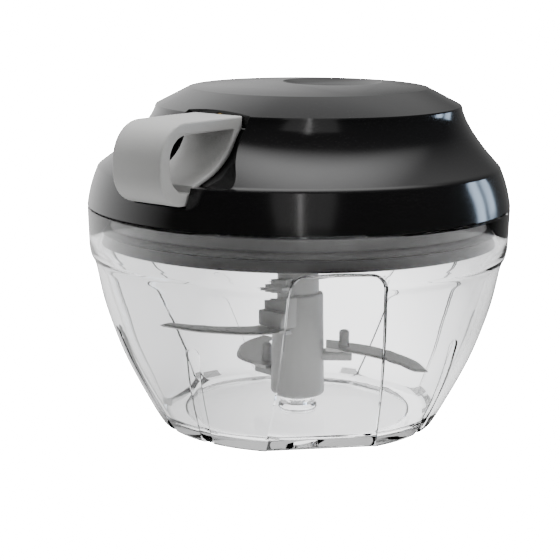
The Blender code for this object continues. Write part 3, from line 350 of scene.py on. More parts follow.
def surfaced(name, group, colour, values, own=(), relief=()):
    """A material on a shared surface group. Its relief is a strength and a depth."""
    material, tree, shader = new_material(name)
    surface = add(tree, "ShaderNodeGroup", node_tree=group)
    feed(tree, surface, ("Colour", (*colour, 1)), *values)
    shown = (("Base Color", surface.outputs["Colour"]), ("Roughness", surface.outputs["Roughness"]))
    feed(tree, shader, *shown, *own)
    if relief:
        add_relief(tree, surface.outputs["Height"], *relief)
    return material


# %% Plastics
GRAIN_DEPTH = 0.05 * MM


def moulded(name, colour, roughness, haze=0.05, tone=0.05, bump=0.05, worn=0.1):
    values = (("Tone Change", tone), ("Roughness", roughness), ("Haze", haze), ("Worn Edge", worn))
    return surfaced(name, MOULD, colour, values, relief=(bump, GRAIN_DEPTH))


cover_black = moulded("cover_black", (0.004, 0.004, 0.0042), 0.13, haze=0.025, bump=0.02, worn=0.0)
handle_grey = moulded("handle_grey", (0.31, 0.31, 0.305), 0.42, haze=0.05, tone=0.03, bump=0.12, worn=0.04)
spindle_grey = moulded("spindle_grey", (0.28, 0.28, 0.275), 0.4, bump=0.1, worn=0.02)
base_grey = moulded("base_grey", (0.05, 0.05, 0.049), 0.3, bump=0.05, worn=0.0)
works_white = moulded("works_white", (0.68, 0.68, 0.66), 0.4)
seal_grey = moulded("seal_grey", (0.07, 0.07, 0.068), 0.6, bump=0.2, worn=0.0)
print("finishes:", [material.name for material in bpy.data.materials])

# %% [markdown]
# ## The clear bowl
# The bowl is moulded in one piece of clear plastic: a curved wall that steps out to a collar for the lid,
# three flat panels let into the outside, slim flutes between them and a flat ring to stand on, round a
# shallow recess. We stack rings for the outside and again for the hollow, cut the panels out of both, so
# that the wall keeps its thickness behind them, then cut the hollow out. Cutting one shape from another
# suits moulded steps that no lathe could turn. The narrow walls round each panel get a darker clear
# material that is painted shade: its tint stands in for the dark lines they show where light is bent away.

# %% Bowl sizes
RIM_RADIUS = 0.0650
BOWL_HEIGHT = 0.0680
BOWL_WALL = 0.0023
BOWL_FLOOR = 0.0045
BASE_RADIUS = 0.0408
COLLAR_FOOT = BOWL_HEIGHT - 0.0145
COLLAR_STEP = 0.0009
SLACK = 0.0003
OVERRUN = 0.004
FLANK = (
    (BASE_RADIUS, 0.0), (0.0426, 0.0006), (0.0437, 0.0020), (0.0454, 0.0048), (0.0476, 0.0088),
    (0.0509, 0.0150), (0.0545, 0.0225), (0.0576, 0.0306), (0.0604, 0.0395), (0.0624, 0.0490),
    (0.0631, 0.0515), (0.0641, COLLAR_FOOT), (0.0646, 0.0560),
)
BOWL_SEGMENTS = 144


def smooth_run(points, steps):
    """Points on a smooth curve through all the given points."""
    ends = [points[0]] + list(points) + [points[-1]]
    run = []
    for a, b, c, d in zip(ends, ends[1:], ends[2:], ends[3:]):
        for t in even(steps)[:-1]:
            terms = []
            for k in range(len(a)):
                bend = 2 * a[k] - 5 * b[k] + 4 * c[k] - d[k]
                twist = 3 * b[k] - 3 * c[k] + d[k] - a[k]
                terms.append(b[k] + (t * (c[k] - a[k]) + t ** 2 * bend + t ** 3 * twist) / 2)
            run.append(tuple(terms))
    run.append(tuple(points[-1]))
    return run


def reach_at(run, height):
    """Read a climbing run of (reach, height) points at one height."""
    for (low_reach, low), (high_reach, high) in zip(run, run[1:]):
        if height <= high:
            share = max(0.0, (height - low) / max(high - low, TINY))
            return low_reach + (high_reach - low_reach) * share
    return run[-1][0]


FLANK_STEPS = 4
flank = smooth_run(FLANK, FLANK_STEPS)
print("bowl flank:", len(flank), "rings, widest", round(1000 * flank[-1][0], 1), "mm from the axis")


# %% A tower of rectangles, for cutting tools
def tower(name, levels):
    """Stack rectangles, each (low x, high x, middle y, half width, z), into a closed tool."""
    def centre_and_size(level):
        low, high, middle, half, height = level
        return ((low + high) / 2, middle, height), (high - low, half * 2)
    centre, size = centre_and_size(levels[0])
    bpy.ops.mesh.primitive_plane_add(size=1, location=centre)
    bpy.context.object.scale = (*size, 1)
    thing = at_origin(bpy.context.object)
    thing.name = name
    edit(thing, "FACE")
    for level in levels[1:]:
        next_centre, next_size = centre_and_size(level)
        step_ring(centre, size, next_centre, next_size)
        centre, size = next_centre, next_size
    leave()
    return outward(thing)


def turned_to(thing, angle):
    thing.rotation_euler = (0, 0, angle)
    return at_origin(thing)


# %% Tools for the panels and flutes
PANEL_COUNT = 3
PANEL_AZIMUTH = radians(-41.5)
PANEL_TOP = 0.0572
PANEL_TOP_HALF = 0.0132
PANEL_BASE_HALF = 0.0163
PANEL_STEP = 0.0010
PANEL_CORNER = 0.0050
PANEL_LEAN = (1.0, 1.27, 1.07)
STEP_REGION = cos(radians(30))
STEP_STEEPNESS = 0.6
STEP_LOWEST = 0.0010
PANEL_LEVELS = 30


def panel_levels(wall):
    levels = []
    top = PANEL_TOP
    for share in even(PANEL_LEVELS):
        height = -OVERRUN + (top + OVERRUN) * sin(pi / 2 * share)
        up = max(0.0, height)
        half = PANEL_BASE_HALF + (PANEL_TOP_HALF - PANEL_BASE_HALF) * up / top
        rise = max(0.0, height - top + PANEL_CORNER)
        half -= PANEL_CORNER - sqrt(max(0.0, PANEL_CORNER ** 2 - rise ** 2))
        face = sqrt(reach_at(flank, up) ** 2 - half ** 2) - PANEL_STEP - wall
        levels.append((face, RIM_RADIUS + OVERRUN, 0.0, half, height))
    return levels


def panel_tool(name, wall):
    """A tower that opens outwards, so that the walls of the step lean a little."""
    tool = tower(name, panel_levels(wall))
    choose(tool, "VERT", lambda vertex: vertex.co.x > RIM_RADIUS)
    bpy.ops.transform.resize(value=PANEL_LEAN, center_override=(0, 0, 0))
    leave()
    return tool


def paint_shade_on_steps(thing, angle):
    """Give the steep walls round one panel the darker clear material, painted shade for their dark lines."""
    out = Vector((cos(angle), sin(angle), 0))
    for face in thing.data.polygons:
        across = Vector((face.center.x, face.center.y, 0)).normalized().dot(out)
        steep = face.normal.dot(out) < STEP_STEEPNESS
        if across > STEP_REGION and face.center.z > STEP_LOWEST and steep:
            face.material_index = 1


FLUTE_TURN = radians(45)
FLUTE_TOP = 0.0335
FLUTE_SLANT = 0.0068
FLUTE_HALF = 0.0021
FLUTE_DEPTH = 0.0006
FLUTE_LEVELS = 24
FLUTE_END_HALF = 0.00005
FLUTE_MIDDLE_SHARE = 0.42


def flute_levels(side):
    levels = []
    for share in even(FLUTE_LEVELS):
        height = FLUTE_TOP * sin(pi / 2 * share)
        rise = max(0.0, height - FLUTE_TOP + FLUTE_HALF)
        half = sqrt(max(0.0, FLUTE_HALF ** 2 - rise ** 2)) + FLUTE_END_HALF
        middle = side * FLUTE_SLANT * (FLUTE_MIDDLE_SHARE - height / FLUTE_TOP)
        face = sqrt(reach_at(flank, height) ** 2 - middle ** 2) - FLUTE_DEPTH
        levels.append((face, RIM_RADIUS + OVERRUN, middle, half, height))
    return levels


# %% Clear plastic, and a darker one that paints shade on its sharp edges
CLEAR_VALUES = (("Tone Change", 0.01), ("Roughness", 0.0), ("Haze", 0.03), ("Worn Edge", 0.0))
CLEAR_SHADER = (("Transmission Weight", 1.0), ("IOR", 1.49))


def clear_plastic(name, colour):
    return surfaced(name, MOULD, colour, CLEAR_VALUES, CLEAR_SHADER)


bowl_plastic = clear_plastic("bowl_clear", (0.87, 0.873, 0.878))
# The darker clear material is painted shade: its dark tint stands in for the lines at the panel steps.
bowl_edges_painted_shade = clear_plastic("bowl_edges_painted_shade", (0.10, 0.10, 0.10))


# %% Bowl
COLLAR_LOW = 0.0568
COLLAR_MIDDLE = 0.0590
COLLAR_HIGH = 0.0630
COLLAR_STEP_SHARE = 0.7
HOLLOW_START = 0.0047
HOLLOW_RISE = 0.0010
# Radius and height of each ring
FLOOR_EDGE = ((0.0400, BOWL_FLOOR), (0.0413, BOWL_FLOOR + 0.0002), (0.0431, 0.0058))
BOSS = ((0.0062, 0.0040), (0.0060, 0.0047), (0.0055, 0.0052), (0.0055, 0.0065), (0.0052, 0.0067))
RECESS = (
    (0.0055, -0.0010), (0.0356, -0.0010), (0.0356, 0.0012),
    (0.0350, 0.0016), (0.0061, 0.0016), (0.0055, 0.0010),
)
PIN_RADIUS = 0.0023
PIN_SEAT = ((PIN_RADIUS, 0.0034), (PIN_RADIUS, 0.0094))


def bowl_outside():
    outline = list(flank) + [(RIM_RADIUS - SLACK, COLLAR_MIDDLE), (RIM_RADIUS - SLACK / 2, COLLAR_HIGH)]
    return outline + [(RIM_RADIUS, BOWL_HEIGHT - SLACK), (RIM_RADIUS - SLACK, BOWL_HEIGHT)]


def bowl_inside():
    inside = RIM_RADIUS - (BOWL_WALL + SLACK)
    outline = smooth_run(FLOOR_EDGE, FLANK_STEPS)[:-1]
    outline += [(r - BOWL_WALL, z + HOLLOW_RISE) for r, z in flank if HOLLOW_START < z < COLLAR_FOOT]
    outline += [(inside - COLLAR_STEP * COLLAR_STEP_SHARE, COLLAR_FOOT + COLLAR_STEP)]
    outline += [(inside - SLACK / 2, COLLAR_LOW), (inside, COLLAR_MIDDLE), (inside, BOWL_HEIGHT - SLACK)]
    return outline + [(inside + SLACK, BOWL_HEIGHT + SLACK), (inside + SLACK, BOWL_HEIGHT + OVERRUN)]


def build_bowl():
    bowl = turned("bowl_clear", bowl_outside(), BOWL_SEGMENTS, closed=False)
    hollow = turned("hollow", bowl_inside(), BOWL_SEGMENTS, closed=False)
    for thing in (bowl, hollow):
        for finish in (bowl_plastic, bowl_edges_painted_shade):
            thing.data.materials.append(finish)
    azimuths = [PANEL_AZIMUTH + tau * i / PANEL_COUNT for i in range(PANEL_COUNT)]
    for angle in azimuths:
        cut(bowl, turned_to(panel_tool("panel_face", 0.0), angle))
        cut(hollow, turned_to(panel_tool("panel_back", BOWL_WALL), angle))
        # The steep walls round the panel get the darker material, painted shade for their dark lines.
        paint_shade_on_steps(bowl, angle)
        paint_shade_on_steps(hollow, angle)
    for angle in azimuths:
        for side in (-1, 1):
            cut(bowl, turned_to(tower("flute", flute_levels(side)), angle + side * FLUTE_TURN))
    drill(hollow, BOSS, 48)
    cut(bowl, hollow)
    cut(bowl, turned("recess", RECESS, BOWL_SEGMENTS))
    drill(bowl, PIN_SEAT, 32)
    return smooth(bowl, radians(30))


dress(build_bowl(), bowl_plastic, "clear_plastic", "bowl", "bowl")

# %% [markdown]
# ## The black cover
# The cover is one gloss moulding: a plain band, a waist that flares in to a raised deck set a little off
# centre, and a chamfered top with a thumb dish. The handle docks in a pocket cut through the deck and the
# waist. The shell is stacked from rings whose centres slide with the height, and its pocket is a tower of
# rectangles that widens towards its floor. The edges that show get a small ring of their own, because
# real mouldings catch the light there.

# %% Cover sizes
LID_BOTTOM = BOWL_HEIGHT + 0.0004
LID_WALL = 0.0020
SHOULDER_RISE = 0.0119
DECK_RISE = 0.0178
TOP_RISE = 0.0054
EDGE = 0.0003
SHOULDER = (0.0617, LID_BOTTOM + SHOULDER_RISE)
DECK = (0.0475, SHOULDER[1] + DECK_RISE)
TOP = (0.0370, DECK[1] + TOP_RISE)
DECK_SHIFT = 0.0076
DECK_AZIMUTH = radians(106)
DECK_CENTRE = (DECK_SHIFT * cos(DECK_AZIMUTH), DECK_SHIFT * sin(DECK_AZIMUTH))
FLARE_POWER = 1.5
FLARE_RINGS = 22
BAND_BULGE = 0.0005
BAND_SHARES = (0.2, 0.4, 0.6, 0.8)
COVER_SEGMENTS = 180
DISH_RADIUS = 0.0160
DISH_DEPTH = 0.0018
DISH_PLACE = 0.0205
DISH_RINGS = 12
DISH_POWER = 4
HOLLOW_SEGMENTS = 96


def cover_rings(inset):
    low = LID_BOTTOM - (OVERRUN if inset else 0.0)
    edge = 0.0 if inset else EDGE
    rings = [(0.0, 0.0, low, RIM_RADIUS - inset - edge)]
    if edge:
        rings.append((0.0, 0.0, low + edge, RIM_RADIUS))
    for share in BAND_SHARES + (1 - edge / SHOULDER_RISE,):
        radius = RIM_RADIUS + (SHOULDER[0] - RIM_RADIUS) * share + BAND_BULGE * sin(pi * share) - inset
        rings.append((0.0, 0.0, LID_BOTTOM + SHOULDER_RISE * share, radius))
    shares = even(FLARE_RINGS)[::-1]
    if edge:
        shares = [1 - edge / DECK_RISE] + shares[1:-1] + [edge / DECK_RISE]
    for share in shares:
        out = share ** FLARE_POWER
        radius = DECK[0] + (SHOULDER[0] - DECK[0]) * out - inset
        height = DECK[1] - DECK_RISE * share - inset
        rings.append((DECK_CENTRE[0] * (1 - out), DECK_CENTRE[1] * (1 - out), height, radius))
    if edge:
        slope = hypot(DECK[0] - TOP[0], TOP[1] - DECK[1])
        out, up = (DECK[0] - TOP[0]) / slope, (TOP[1] - DECK[1]) / slope
        rings.append((*DECK_CENTRE, DECK[1] + edge * up, DECK[0] - edge * out))
        rings.append((*DECK_CENTRE, TOP[1] - edge * up, TOP[0] + edge * out))
        rings.append((*DECK_CENTRE, TOP[1], TOP[0] - edge))
    else:
        rings.append((*DECK_CENTRE, TOP[1] - inset, TOP[0] - inset / 2))
    return rings


# %% Pocket sizes, which follow the handle
HANDLE_HALF = 0.0092
HANDLE_REACH = 0.0725
HANDLE_REAR = 0.0380
HANDLE_TOP = DECK[1] + 0.0002
HANDLE_BOTTOM = SHOULDER[1] - 0.0052
LOWER_ARM_REACH = 0.0128
HANDLE_ARM = 0.0035
HANDLE_GRIP = 0.0040
HANDLE_PLATE = 0.0018
HOLE_TOP = HANDLE_TOP - HANDLE_ARM
HOLE_FLOOR = HANDLE_BOTTOM + HANDLE_ARM
LOWER_ARM_INNER = HANDLE_REACH - LOWER_ARM_REACH
# Back plate: share of the way out from the handle's rear, share of the drop to its lower arm
PLATE_SHARES = ((0.0, 0.0), (0.08, 0.11), (0.25, 0.457), (0.518, 0.728), (0.814, 0.894), (1.0, 1.0))
POCKET_TOP_HALF = 0.0117
POCKET_FLOOR_HALF = 0.0245
POCKET_FLOOR = SHOULDER[1] - 0.0002
POCKET_CORNER = 0.0045
POCKET_LEVELS = 24
CLEARANCE = 0.0004
NOTCH_CLEARANCE = 0.0006


def plate_curve():
    points = []
    for out_share, drop_share in smooth_run(PLATE_SHARES, 5):
        reach = HANDLE_REAR + (LOWER_ARM_INNER - HANDLE_REAR) * out_share
        points.append((reach, HOLE_TOP - (HOLE_TOP - HOLE_FLOOR) * drop_share))
    return points


plate = plate_curve()
plate_climb = list(reversed(plate))
print("back plate:", len(plate), "points")


def pocket(wall):
    """The room that the handle docks in, with a wall above zero for the housing round it."""
    low = POCKET_FLOOR - wall
    front = HANDLE_REACH + OVERRUN
    levels = []
    for share in even(POCKET_LEVELS):
        height = low + (HOLE_TOP - low) * share
        half = POCKET_TOP_HALF + (POCKET_FLOOR_HALF - POCKET_TOP_HALF) * (1 - share) ** 2
        rise = max(0.0, POCKET_CORNER - (height - low))
        half -= POCKET_CORNER - sqrt(POCKET_CORNER ** 2 - rise ** 2)
        rear = reach_at(plate_climb, height + wall) - CLEARANCE - wall
        levels.append((rear, front, 0.0, half + wall, height))
    levels.append((HANDLE_REAR - CLEARANCE - wall, front, 0.0, POCKET_TOP_HALF + wall, TOP[1] + OVERRUN))
    return turned_to(tower("pocket", levels), -pi / 2)


def from_curve(name, dimensions, runs, **settings):
    """Draw runs of points as one curve, and turn it into a piece of its own, with its faces outwards."""
    curve = bpy.data.curves.new(name, "CURVE")
    curve.dimensions = dimensions
    for key, value in settings.items():
        setattr(curve, key, value)
    for run in runs:
        spline = curve.splines.new("POLY")
        spline.points.add(len(run) - 1)
        for point, place in zip(spline.points, run):
            point.co = (*place, 1)
        spline.use_cyclic_u = dimensions == "2D"
    thing = bpy.data.objects.new(name, curve)
    bpy.context.scene.collection.objects.link(thing)
    only(thing)
    bpy.ops.object.convert(target="MESH")
    return outward(bpy.context.object)


def flat_curve(name, outlines, half, edge=0.0):
    """Fill flat outlines and thicken them. An outline inside another is a hole, and edges round inwards."""
    runs = [[(x, y, 0) for x, y in outline] for outline in outlines]
    return from_curve(
        name, "2D", runs, fill_mode="BOTH", extrude=half - edge,
        bevel_depth=edge, bevel_resolution=2, offset=-edge)


def stand_up(thing):
    """Turn a flat piece so that its X runs towards -Y and its Y runs up, and its faces outwards again."""
    thing.data.transform(Matrix(((0, 0, 1, 0), (-1, 0, 0, 0), (0, 1, 0, 0), (0, 0, 0, 1))))
    return outward(thing)


def notch(wall):
    room = NOTCH_CLEARANCE + wall
    front = HANDLE_REACH + OVERRUN * 2
    top = SHOULDER[1] + OVERRUN
    ledge = reach_at(plate_climb, POCKET_FLOOR) - room
    inner = LOWER_ARM_INNER - room
    outline = [(inner, HANDLE_BOTTOM - room), (front, HANDLE_BOTTOM - room), (front, top), (ledge, top)]
    outline += [(ledge, POCKET_FLOOR - room), (inner, HOLE_FLOOR - room)]
    return stand_up(flat_curve("notch", [outline], HANDLE_HALF + room))


# %% Cover
# Each row: how many, distance from the axis, first angle, foot of the post, top of the screw's hole
PLATE_SCREWS = (4, 0.0420, radians(45), LID_BOTTOM + 0.0075, LID_BOTTOM + 0.0132)
BASE_SCREWS = (6, 0.0520, 0.0, LID_BOTTOM + 0.0026, LID_BOTTOM + 0.0080)
SCREW_BOSS = 0.0036
SCREW_PILOT = 0.0017
POST_SEGMENTS = 20
PLUG_SHARE = 1.2
EYELET_HOLE = 0.0023
EYELET_HOLE_LENGTH = 0.0080
CORD_HEIGHT = HANDLE_TOP - HANDLE_ARM / 2


def along_reach(name, radius, start, end, segments=32):
    bpy.ops.mesh.primitive_cylinder_add(
        vertices=segments, radius=radius, depth=end - start,
        location=(0, -(start + end) / 2, CORD_HEIGHT), rotation=(pi / 2, 0, 0))
    bpy.context.object.name = name
    return at_origin(bpy.context.object)


def dish(thicker):
    x = DECK_CENTRE[0] + DISH_PLACE * cos(DECK_AZIMUTH)
    y = DECK_CENTRE[1] + DISH_PLACE * sin(DECK_AZIMUTH)
    outline = []
    for share in even(DISH_RINGS)[1:]:
        radius = (DISH_RADIUS + thicker) * share
        outline.append((radius, TOP[1] - thicker - DISH_DEPTH * (1 - share ** DISH_POWER)))
    outline.append((DISH_RADIUS + thicker, TOP[1] + OVERRUN))
    return turned("dish", outline, HOLLOW_SEGMENTS, (x, y), closed=False)


def post(x, y, low, top):
    """What a screw post leaves of the hollow: a tube to the roof, solid above the screw."""
    outline = [(SCREW_PILOT, low), (SCREW_BOSS, low), (SCREW_BOSS, TOP[1]), (SCREW_PILOT, TOP[1])]
    shaft = turned("post", outline, POST_SEGMENTS, (x, y))
    plug = [(SCREW_PILOT * PLUG_SHARE, top), (SCREW_PILOT * PLUG_SHARE, TOP[1])]
    return cut(shaft, turned("plug", plug, POST_SEGMENTS, (x, y), closed=False), "UNION")


def screw_places(screws):
    count, place, turn = screws[:3]
    return arc(0, 0, place, turn, turn + tau, count)[:-1]


def build_cover():
    cover = stack("lid_cover", cover_rings(0.0), COVER_SEGMENTS)
    cut(cover, dish(0.0))
    hollow = stack("hollow", cover_rings(LID_WALL), HOLLOW_SEGMENTS)
    cut(hollow, dish(LID_WALL))
    cut(hollow, pocket(LID_WALL))
    cut(hollow, notch(LID_WALL))
    for screws in (PLATE_SCREWS, BASE_SCREWS):
        for x, y in screw_places(screws):
            cut(hollow, post(x, y, *screws[3:]))
    cut(cover, hollow)
    cut(cover, pocket(0.0))
    cut(cover, notch(0.0))
    cut(cover, along_reach("eyelet_hole", EYELET_HOLE, HANDLE_REAR - EYELET_HOLE_LENGTH, HANDLE_REAR))
    return cover


cover = build_cover()
smooth(cover, radians(18))
dress(cover, cover_black, "black_plastic", "lid", "top_cover")

# %% [markdown]
# ## The pull handle
# The handle is a D in side view: a strap that runs out over the top, down the front and back underneath,
# with a curved back plate that fills the D from the cover's side. A flat curve with an inner outline gives
# the strap and its finger hole at once, and the curve's own bevel rounds every edge evenly, which a bevel
# on a filled mesh rarely does as cleanly.

# %% Handle
HANDLE_TOP_ROUND = 0.0105
HANDLE_LOW_ROUND = 0.0090
HOLE_ROUND = 0.0068
ROUND_STEPS = 10
EDGE_ROUND = 0.0006
KNOT_PLACE = 0.0500
KNOT_ROOM = 0.0043
KNOT_HALF = 0.0020
KNOT_HEADROOM = 0.0015
CORD_BORE = 0.0012
# The part of the back plate that the finger hole follows
HOLE_PART = slice(6, -3)


def corner(x, y, radius, start):
    """Points round a corner, clockwise from the start angle."""
    return arc(x, y, radius, start, start - pi / 2, ROUND_STEPS)


def handle_outline():
    reach = HANDLE_REACH
    outline = [(HANDLE_REAR, HANDLE_TOP)]
    outline += corner(reach - HANDLE_TOP_ROUND, HANDLE_TOP - HANDLE_TOP_ROUND, HANDLE_TOP_ROUND, pi / 2)
    outline += corner(reach - HANDLE_LOW_ROUND, HANDLE_BOTTOM + HANDLE_LOW_ROUND, HANDLE_LOW_ROUND, 0)
    outline += [(LOWER_ARM_INNER, HANDLE_BOTTOM)]
    return outline + list(reversed(plate))


def finger_hole():
    front = HANDLE_REACH - HANDLE_GRIP - HOLE_ROUND
    outline = [(plate[0][0] + HANDLE_PLATE * 2, plate[0][1])]
    outline += corner(front, HOLE_TOP - HOLE_ROUND, HOLE_ROUND, pi / 2)
    outline += corner(front, HOLE_FLOOR + HOLE_ROUND, HOLE_ROUND, 0)
    outline += [(LOWER_ARM_INNER + SLACK, HOLE_FLOOR)]
    inner = [(x + HANDLE_PLATE, y + HANDLE_PLATE / 2) for x, y in reversed(plate[HOLE_PART])]
    return outline + inner


def build_handle():
    outlines = [handle_outline(), finger_hole()]
    handle = stand_up(flat_curve("handle_grip", outlines, HANDLE_HALF, EDGE_ROUND))
    cut(handle, along_reach("cord_bore", CORD_BORE, HANDLE_REAR - OVERRUN, KNOT_PLACE, 24))
    heights = (HOLE_TOP - OVERRUN, CORD_HEIGHT + KNOT_HEADROOM)
    levels = [(-KNOT_HALF, KNOT_HALF, -KNOT_PLACE, KNOT_ROOM / 2, height) for height in heights]
    cut(handle, tower("knot_room", levels))
    return smooth(handle, radians(30))


dress(build_handle(), handle_grey, "light_plastic", "handle", "pull_handle")

# %% [markdown]
# ## The inner lid and its seal
# Through the clear collar you see the inner lid: a disc that the cover is screwed to, with a skirt that
# drops inside the bowl and a soft ring in a groove round it. It is turned like the bowl, and then drilled
# for its screws and stiffened by shallow rings underneath.

# %% Inner lid
PLATE_LOW = LID_BOTTOM + SLACK
PLATE_THICKNESS = 0.0020
PLATE_HIGH = PLATE_LOW + PLATE_THICKNESS
PLATE_RADIUS = 0.0617
SKIRT_BOTTOM = LID_BOTTOM - 0.0106
SKIRT_RADIUS = 0.0612
SKIRT_INNER = 0.0592
GROOVE_RADIUS = 0.0602
SEAL_LOW = SKIRT_BOTTOM + 0.0038
SEAL_HIGH = SEAL_LOW + 0.0020
HUB_HOLE = 0.0098
# Each ring that stiffens the plate: where it starts, its width, how far it stands down
RIBS = ((0.0140, 0.0016, 0.0012), (0.0440, 0.0018, 0.0010))
RIB_DRAFT = 0.0004
SKIRT_FILLET = 0.0015
PILOT_SEGMENTS = 24
SEAL_STEPS = 16
SEAL_REACH = 0.0614
SEAL_BULGE = 0.0007
SEAL_MIDDLE = SEAL_LOW + 0.0010
SEAL_HALF = 0.00095


def build_inner_lid():
    edge = SLACK
    outline = [(HUB_HOLE, PLATE_LOW)]
    for start, width, drop in RIBS:
        end = start + width
        outline += [(start, PLATE_LOW), (start + RIB_DRAFT, PLATE_LOW - drop)]
        outline += [(end - RIB_DRAFT, PLATE_LOW - drop), (end, PLATE_LOW)]
    outline += [(SKIRT_INNER - SKIRT_FILLET, PLATE_LOW), (SKIRT_INNER, PLATE_LOW - SKIRT_FILLET)]
    outline += [(SKIRT_INNER, SKIRT_BOTTOM + edge), (SKIRT_INNER + edge, SKIRT_BOTTOM)]
    outline += [(SKIRT_RADIUS - edge, SKIRT_BOTTOM), (SKIRT_RADIUS, SKIRT_BOTTOM + edge)]
    outline += [(SKIRT_RADIUS, SEAL_LOW - edge), (GROOVE_RADIUS, SEAL_LOW - edge)]
    outline += [(GROOVE_RADIUS, SEAL_HIGH + edge), (SKIRT_RADIUS, SEAL_HIGH + edge)]
    outline += [(SKIRT_RADIUS, PLATE_LOW), (PLATE_RADIUS, PLATE_LOW)]
    outline += [(PLATE_RADIUS, PLATE_HIGH), (HUB_HOLE, PLATE_HIGH)]
    lid = turned("inner_lid", outline, COVER_SEGMENTS)
    pilot = [(SCREW_PILOT, PLATE_LOW - OVERRUN), (SCREW_PILOT, PLATE_HIGH + OVERRUN)]
    for place in screw_places(BASE_SCREWS):
        drill(lid, pilot, PILOT_SEGMENTS, place)
    return smooth(lid, radians(30))


def build_seal():
    outline = []
    for share in even(SEAL_STEPS):
        angle = pi * share - pi / 2
        outline.append((SEAL_REACH + SEAL_BULGE * cos(angle), SEAL_MIDDLE + SEAL_HALF * sin(angle)))
    outline += [(GROOVE_RADIUS + SLACK, SEAL_HIGH), (GROOVE_RADIUS + SLACK, SEAL_LOW)]
    return smooth(turned("seal_ring", outline, COVER_SEGMENTS), radians(40))


dress(build_inner_lid(), base_grey, "dark_plastic", "lid", "lid_base")
dress(build_seal(), seal_grey, "silicone", "lid", "lid_seal")

# %% [markdown]
# ## Blades
# Each blade is stamped from thin sheet and then ground to an edge. A flat curve gives the sickle outline,
# with a second outline for the hole that its stud goes through. The rim is thinned by scaling the outer
# ring of points towards the middle plane, as a grinder would, while an inset keeps the flat of the blade at
# full thickness.

# %% Blades
# How each blade is held: slope along its root, reach of its carrier, half width of the carrier, place of
# its stud
HOLD_LOW = (0.0, 0.0170, 0.0031, 0.0145)
HOLD_MID = (-0.10, 0.0170, 0.0031, 0.0145)
HOLD_HIGH = (0.09, 0.0126, 0.0050, 0.0112)
# Each blade: name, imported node, direction of its tip, height, reach, hold
BLADES = (
    ("blade_low", "blade_lower", radians(144), 0.0150, 0.0438, HOLD_LOW),
    ("blade_mid", "blade_middle", radians(10), 0.0224, 0.0445, HOLD_MID),
    ("blade_high", "blade_upper", radians(238), 0.0298, 0.0445, HOLD_HIGH),
)
STUD_RADIUS = 0.0016
BLADE_HALF = 0.0005
ROOT_TURN = radians(27)
ROOT_START = 0.0088
ROOT_HALF = 0.0054
# Each point: share of the reach, angle ahead of the tip
LEADING_SHARES = (
    (0.402, radians(46)), (0.571, radians(35.6)), (0.737, radians(21.6)),
    (0.863, radians(12.5)), (1.0, 0.0),
)
TRAILING_SHARES = (
    (1.0, 0.0), (0.917, radians(-4)), (0.782, radians(0.7)),
    (0.708, radians(2)), (0.613, radians(6.2)), (0.416, radians(7.4)),
)
GRIND_WIDTH = 0.0010
GRIND_SHARE = 0.2
GRIND_START = ROOT_START * 1.7
OUTLINE_STEPS = 8
FLAT_NORMAL = 0.9
HOLE_SIDES = 16


def along_root(reach, side):
    turned_x = reach * cos(ROOT_TURN) - side * sin(ROOT_TURN)
    return turned_x, reach * sin(ROOT_TURN) + side * cos(ROOT_TURN)


def blade_outline(reach):
    def place(point):
        share, angle = point
        return reach * share * cos(angle), reach * share * sin(angle)
    leading = [along_root(ROOT_START, ROOT_HALF)] + [place(point) for point in LEADING_SHARES]
    trailing = [place(point) for point in TRAILING_SHARES] + [along_root(ROOT_START, -ROOT_HALF)]
    return smooth_run(leading, OUTLINE_STEPS) + smooth_run(trailing, OUTLINE_STEPS)[1:]


def stud_spot(angle, place):
    return place * cos(angle + ROOT_TURN), place * sin(angle + ROOT_TURN)


def stud_hole(place):
    """The outline of the hole that a carrier's stud goes through."""
    return arc(*stud_spot(0, place), STUD_RADIUS + SLACK, 0, tau, HOLE_SIDES)[:-1]


def build_blade(name, angle, height, reach, hold):
    slope, held, _, place = hold
    outline = blade_outline(reach)
    blade = flat_curve(name, [outline, stud_hole(place)], BLADE_HALF)

    def ground(vertex):
        near = min(hypot(vertex.co.x - x, vertex.co.y - y) for x, y in outline)
        return near < TOLERANCE and hypot(vertex.co.x, vertex.co.y) > GRIND_START
    choose(blade, "FACE", lambda face: abs(face.normal.z) > FLAT_NORMAL)
    bpy.ops.mesh.beautify_fill(angle_limit=radians(1))
    bpy.ops.mesh.inset(thickness=GRIND_WIDTH, use_even_offset=True)
    leave()
    choose(blade, "VERT", ground)
    bpy.ops.transform.resize(value=(1, 1, GRIND_SHARE), center_override=(0, 0, 0))
    leave()
    lean = Matrix.Translation((0, 0, height - slope * held))
    lean[2][0] = slope * cos(ROOT_TURN)
    lean[2][1] = slope * sin(ROOT_TURN)
    blade.data.transform(lean)
    turned_to(blade, angle)
    return smooth(blade, radians(20))


# %% Finishes of metal
LINE_DETAIL = 3.0
LINE_RANGE = (0.3, 0.7)
CLOUD_SCALE = 60.0
CLOUD_RANGE = (0.4, 0.75)
DULL_VALUE = 0.45
BRUSHING = 0.1
TARNISH = 0.15
ROUND_BRUSH = (60.0, 60.0, 2500.0)
BLADE_BRUSH = (1500.0, 60.0, 60.0)
BRUSH_RELIEF = (0.05, 0.02 * MM)


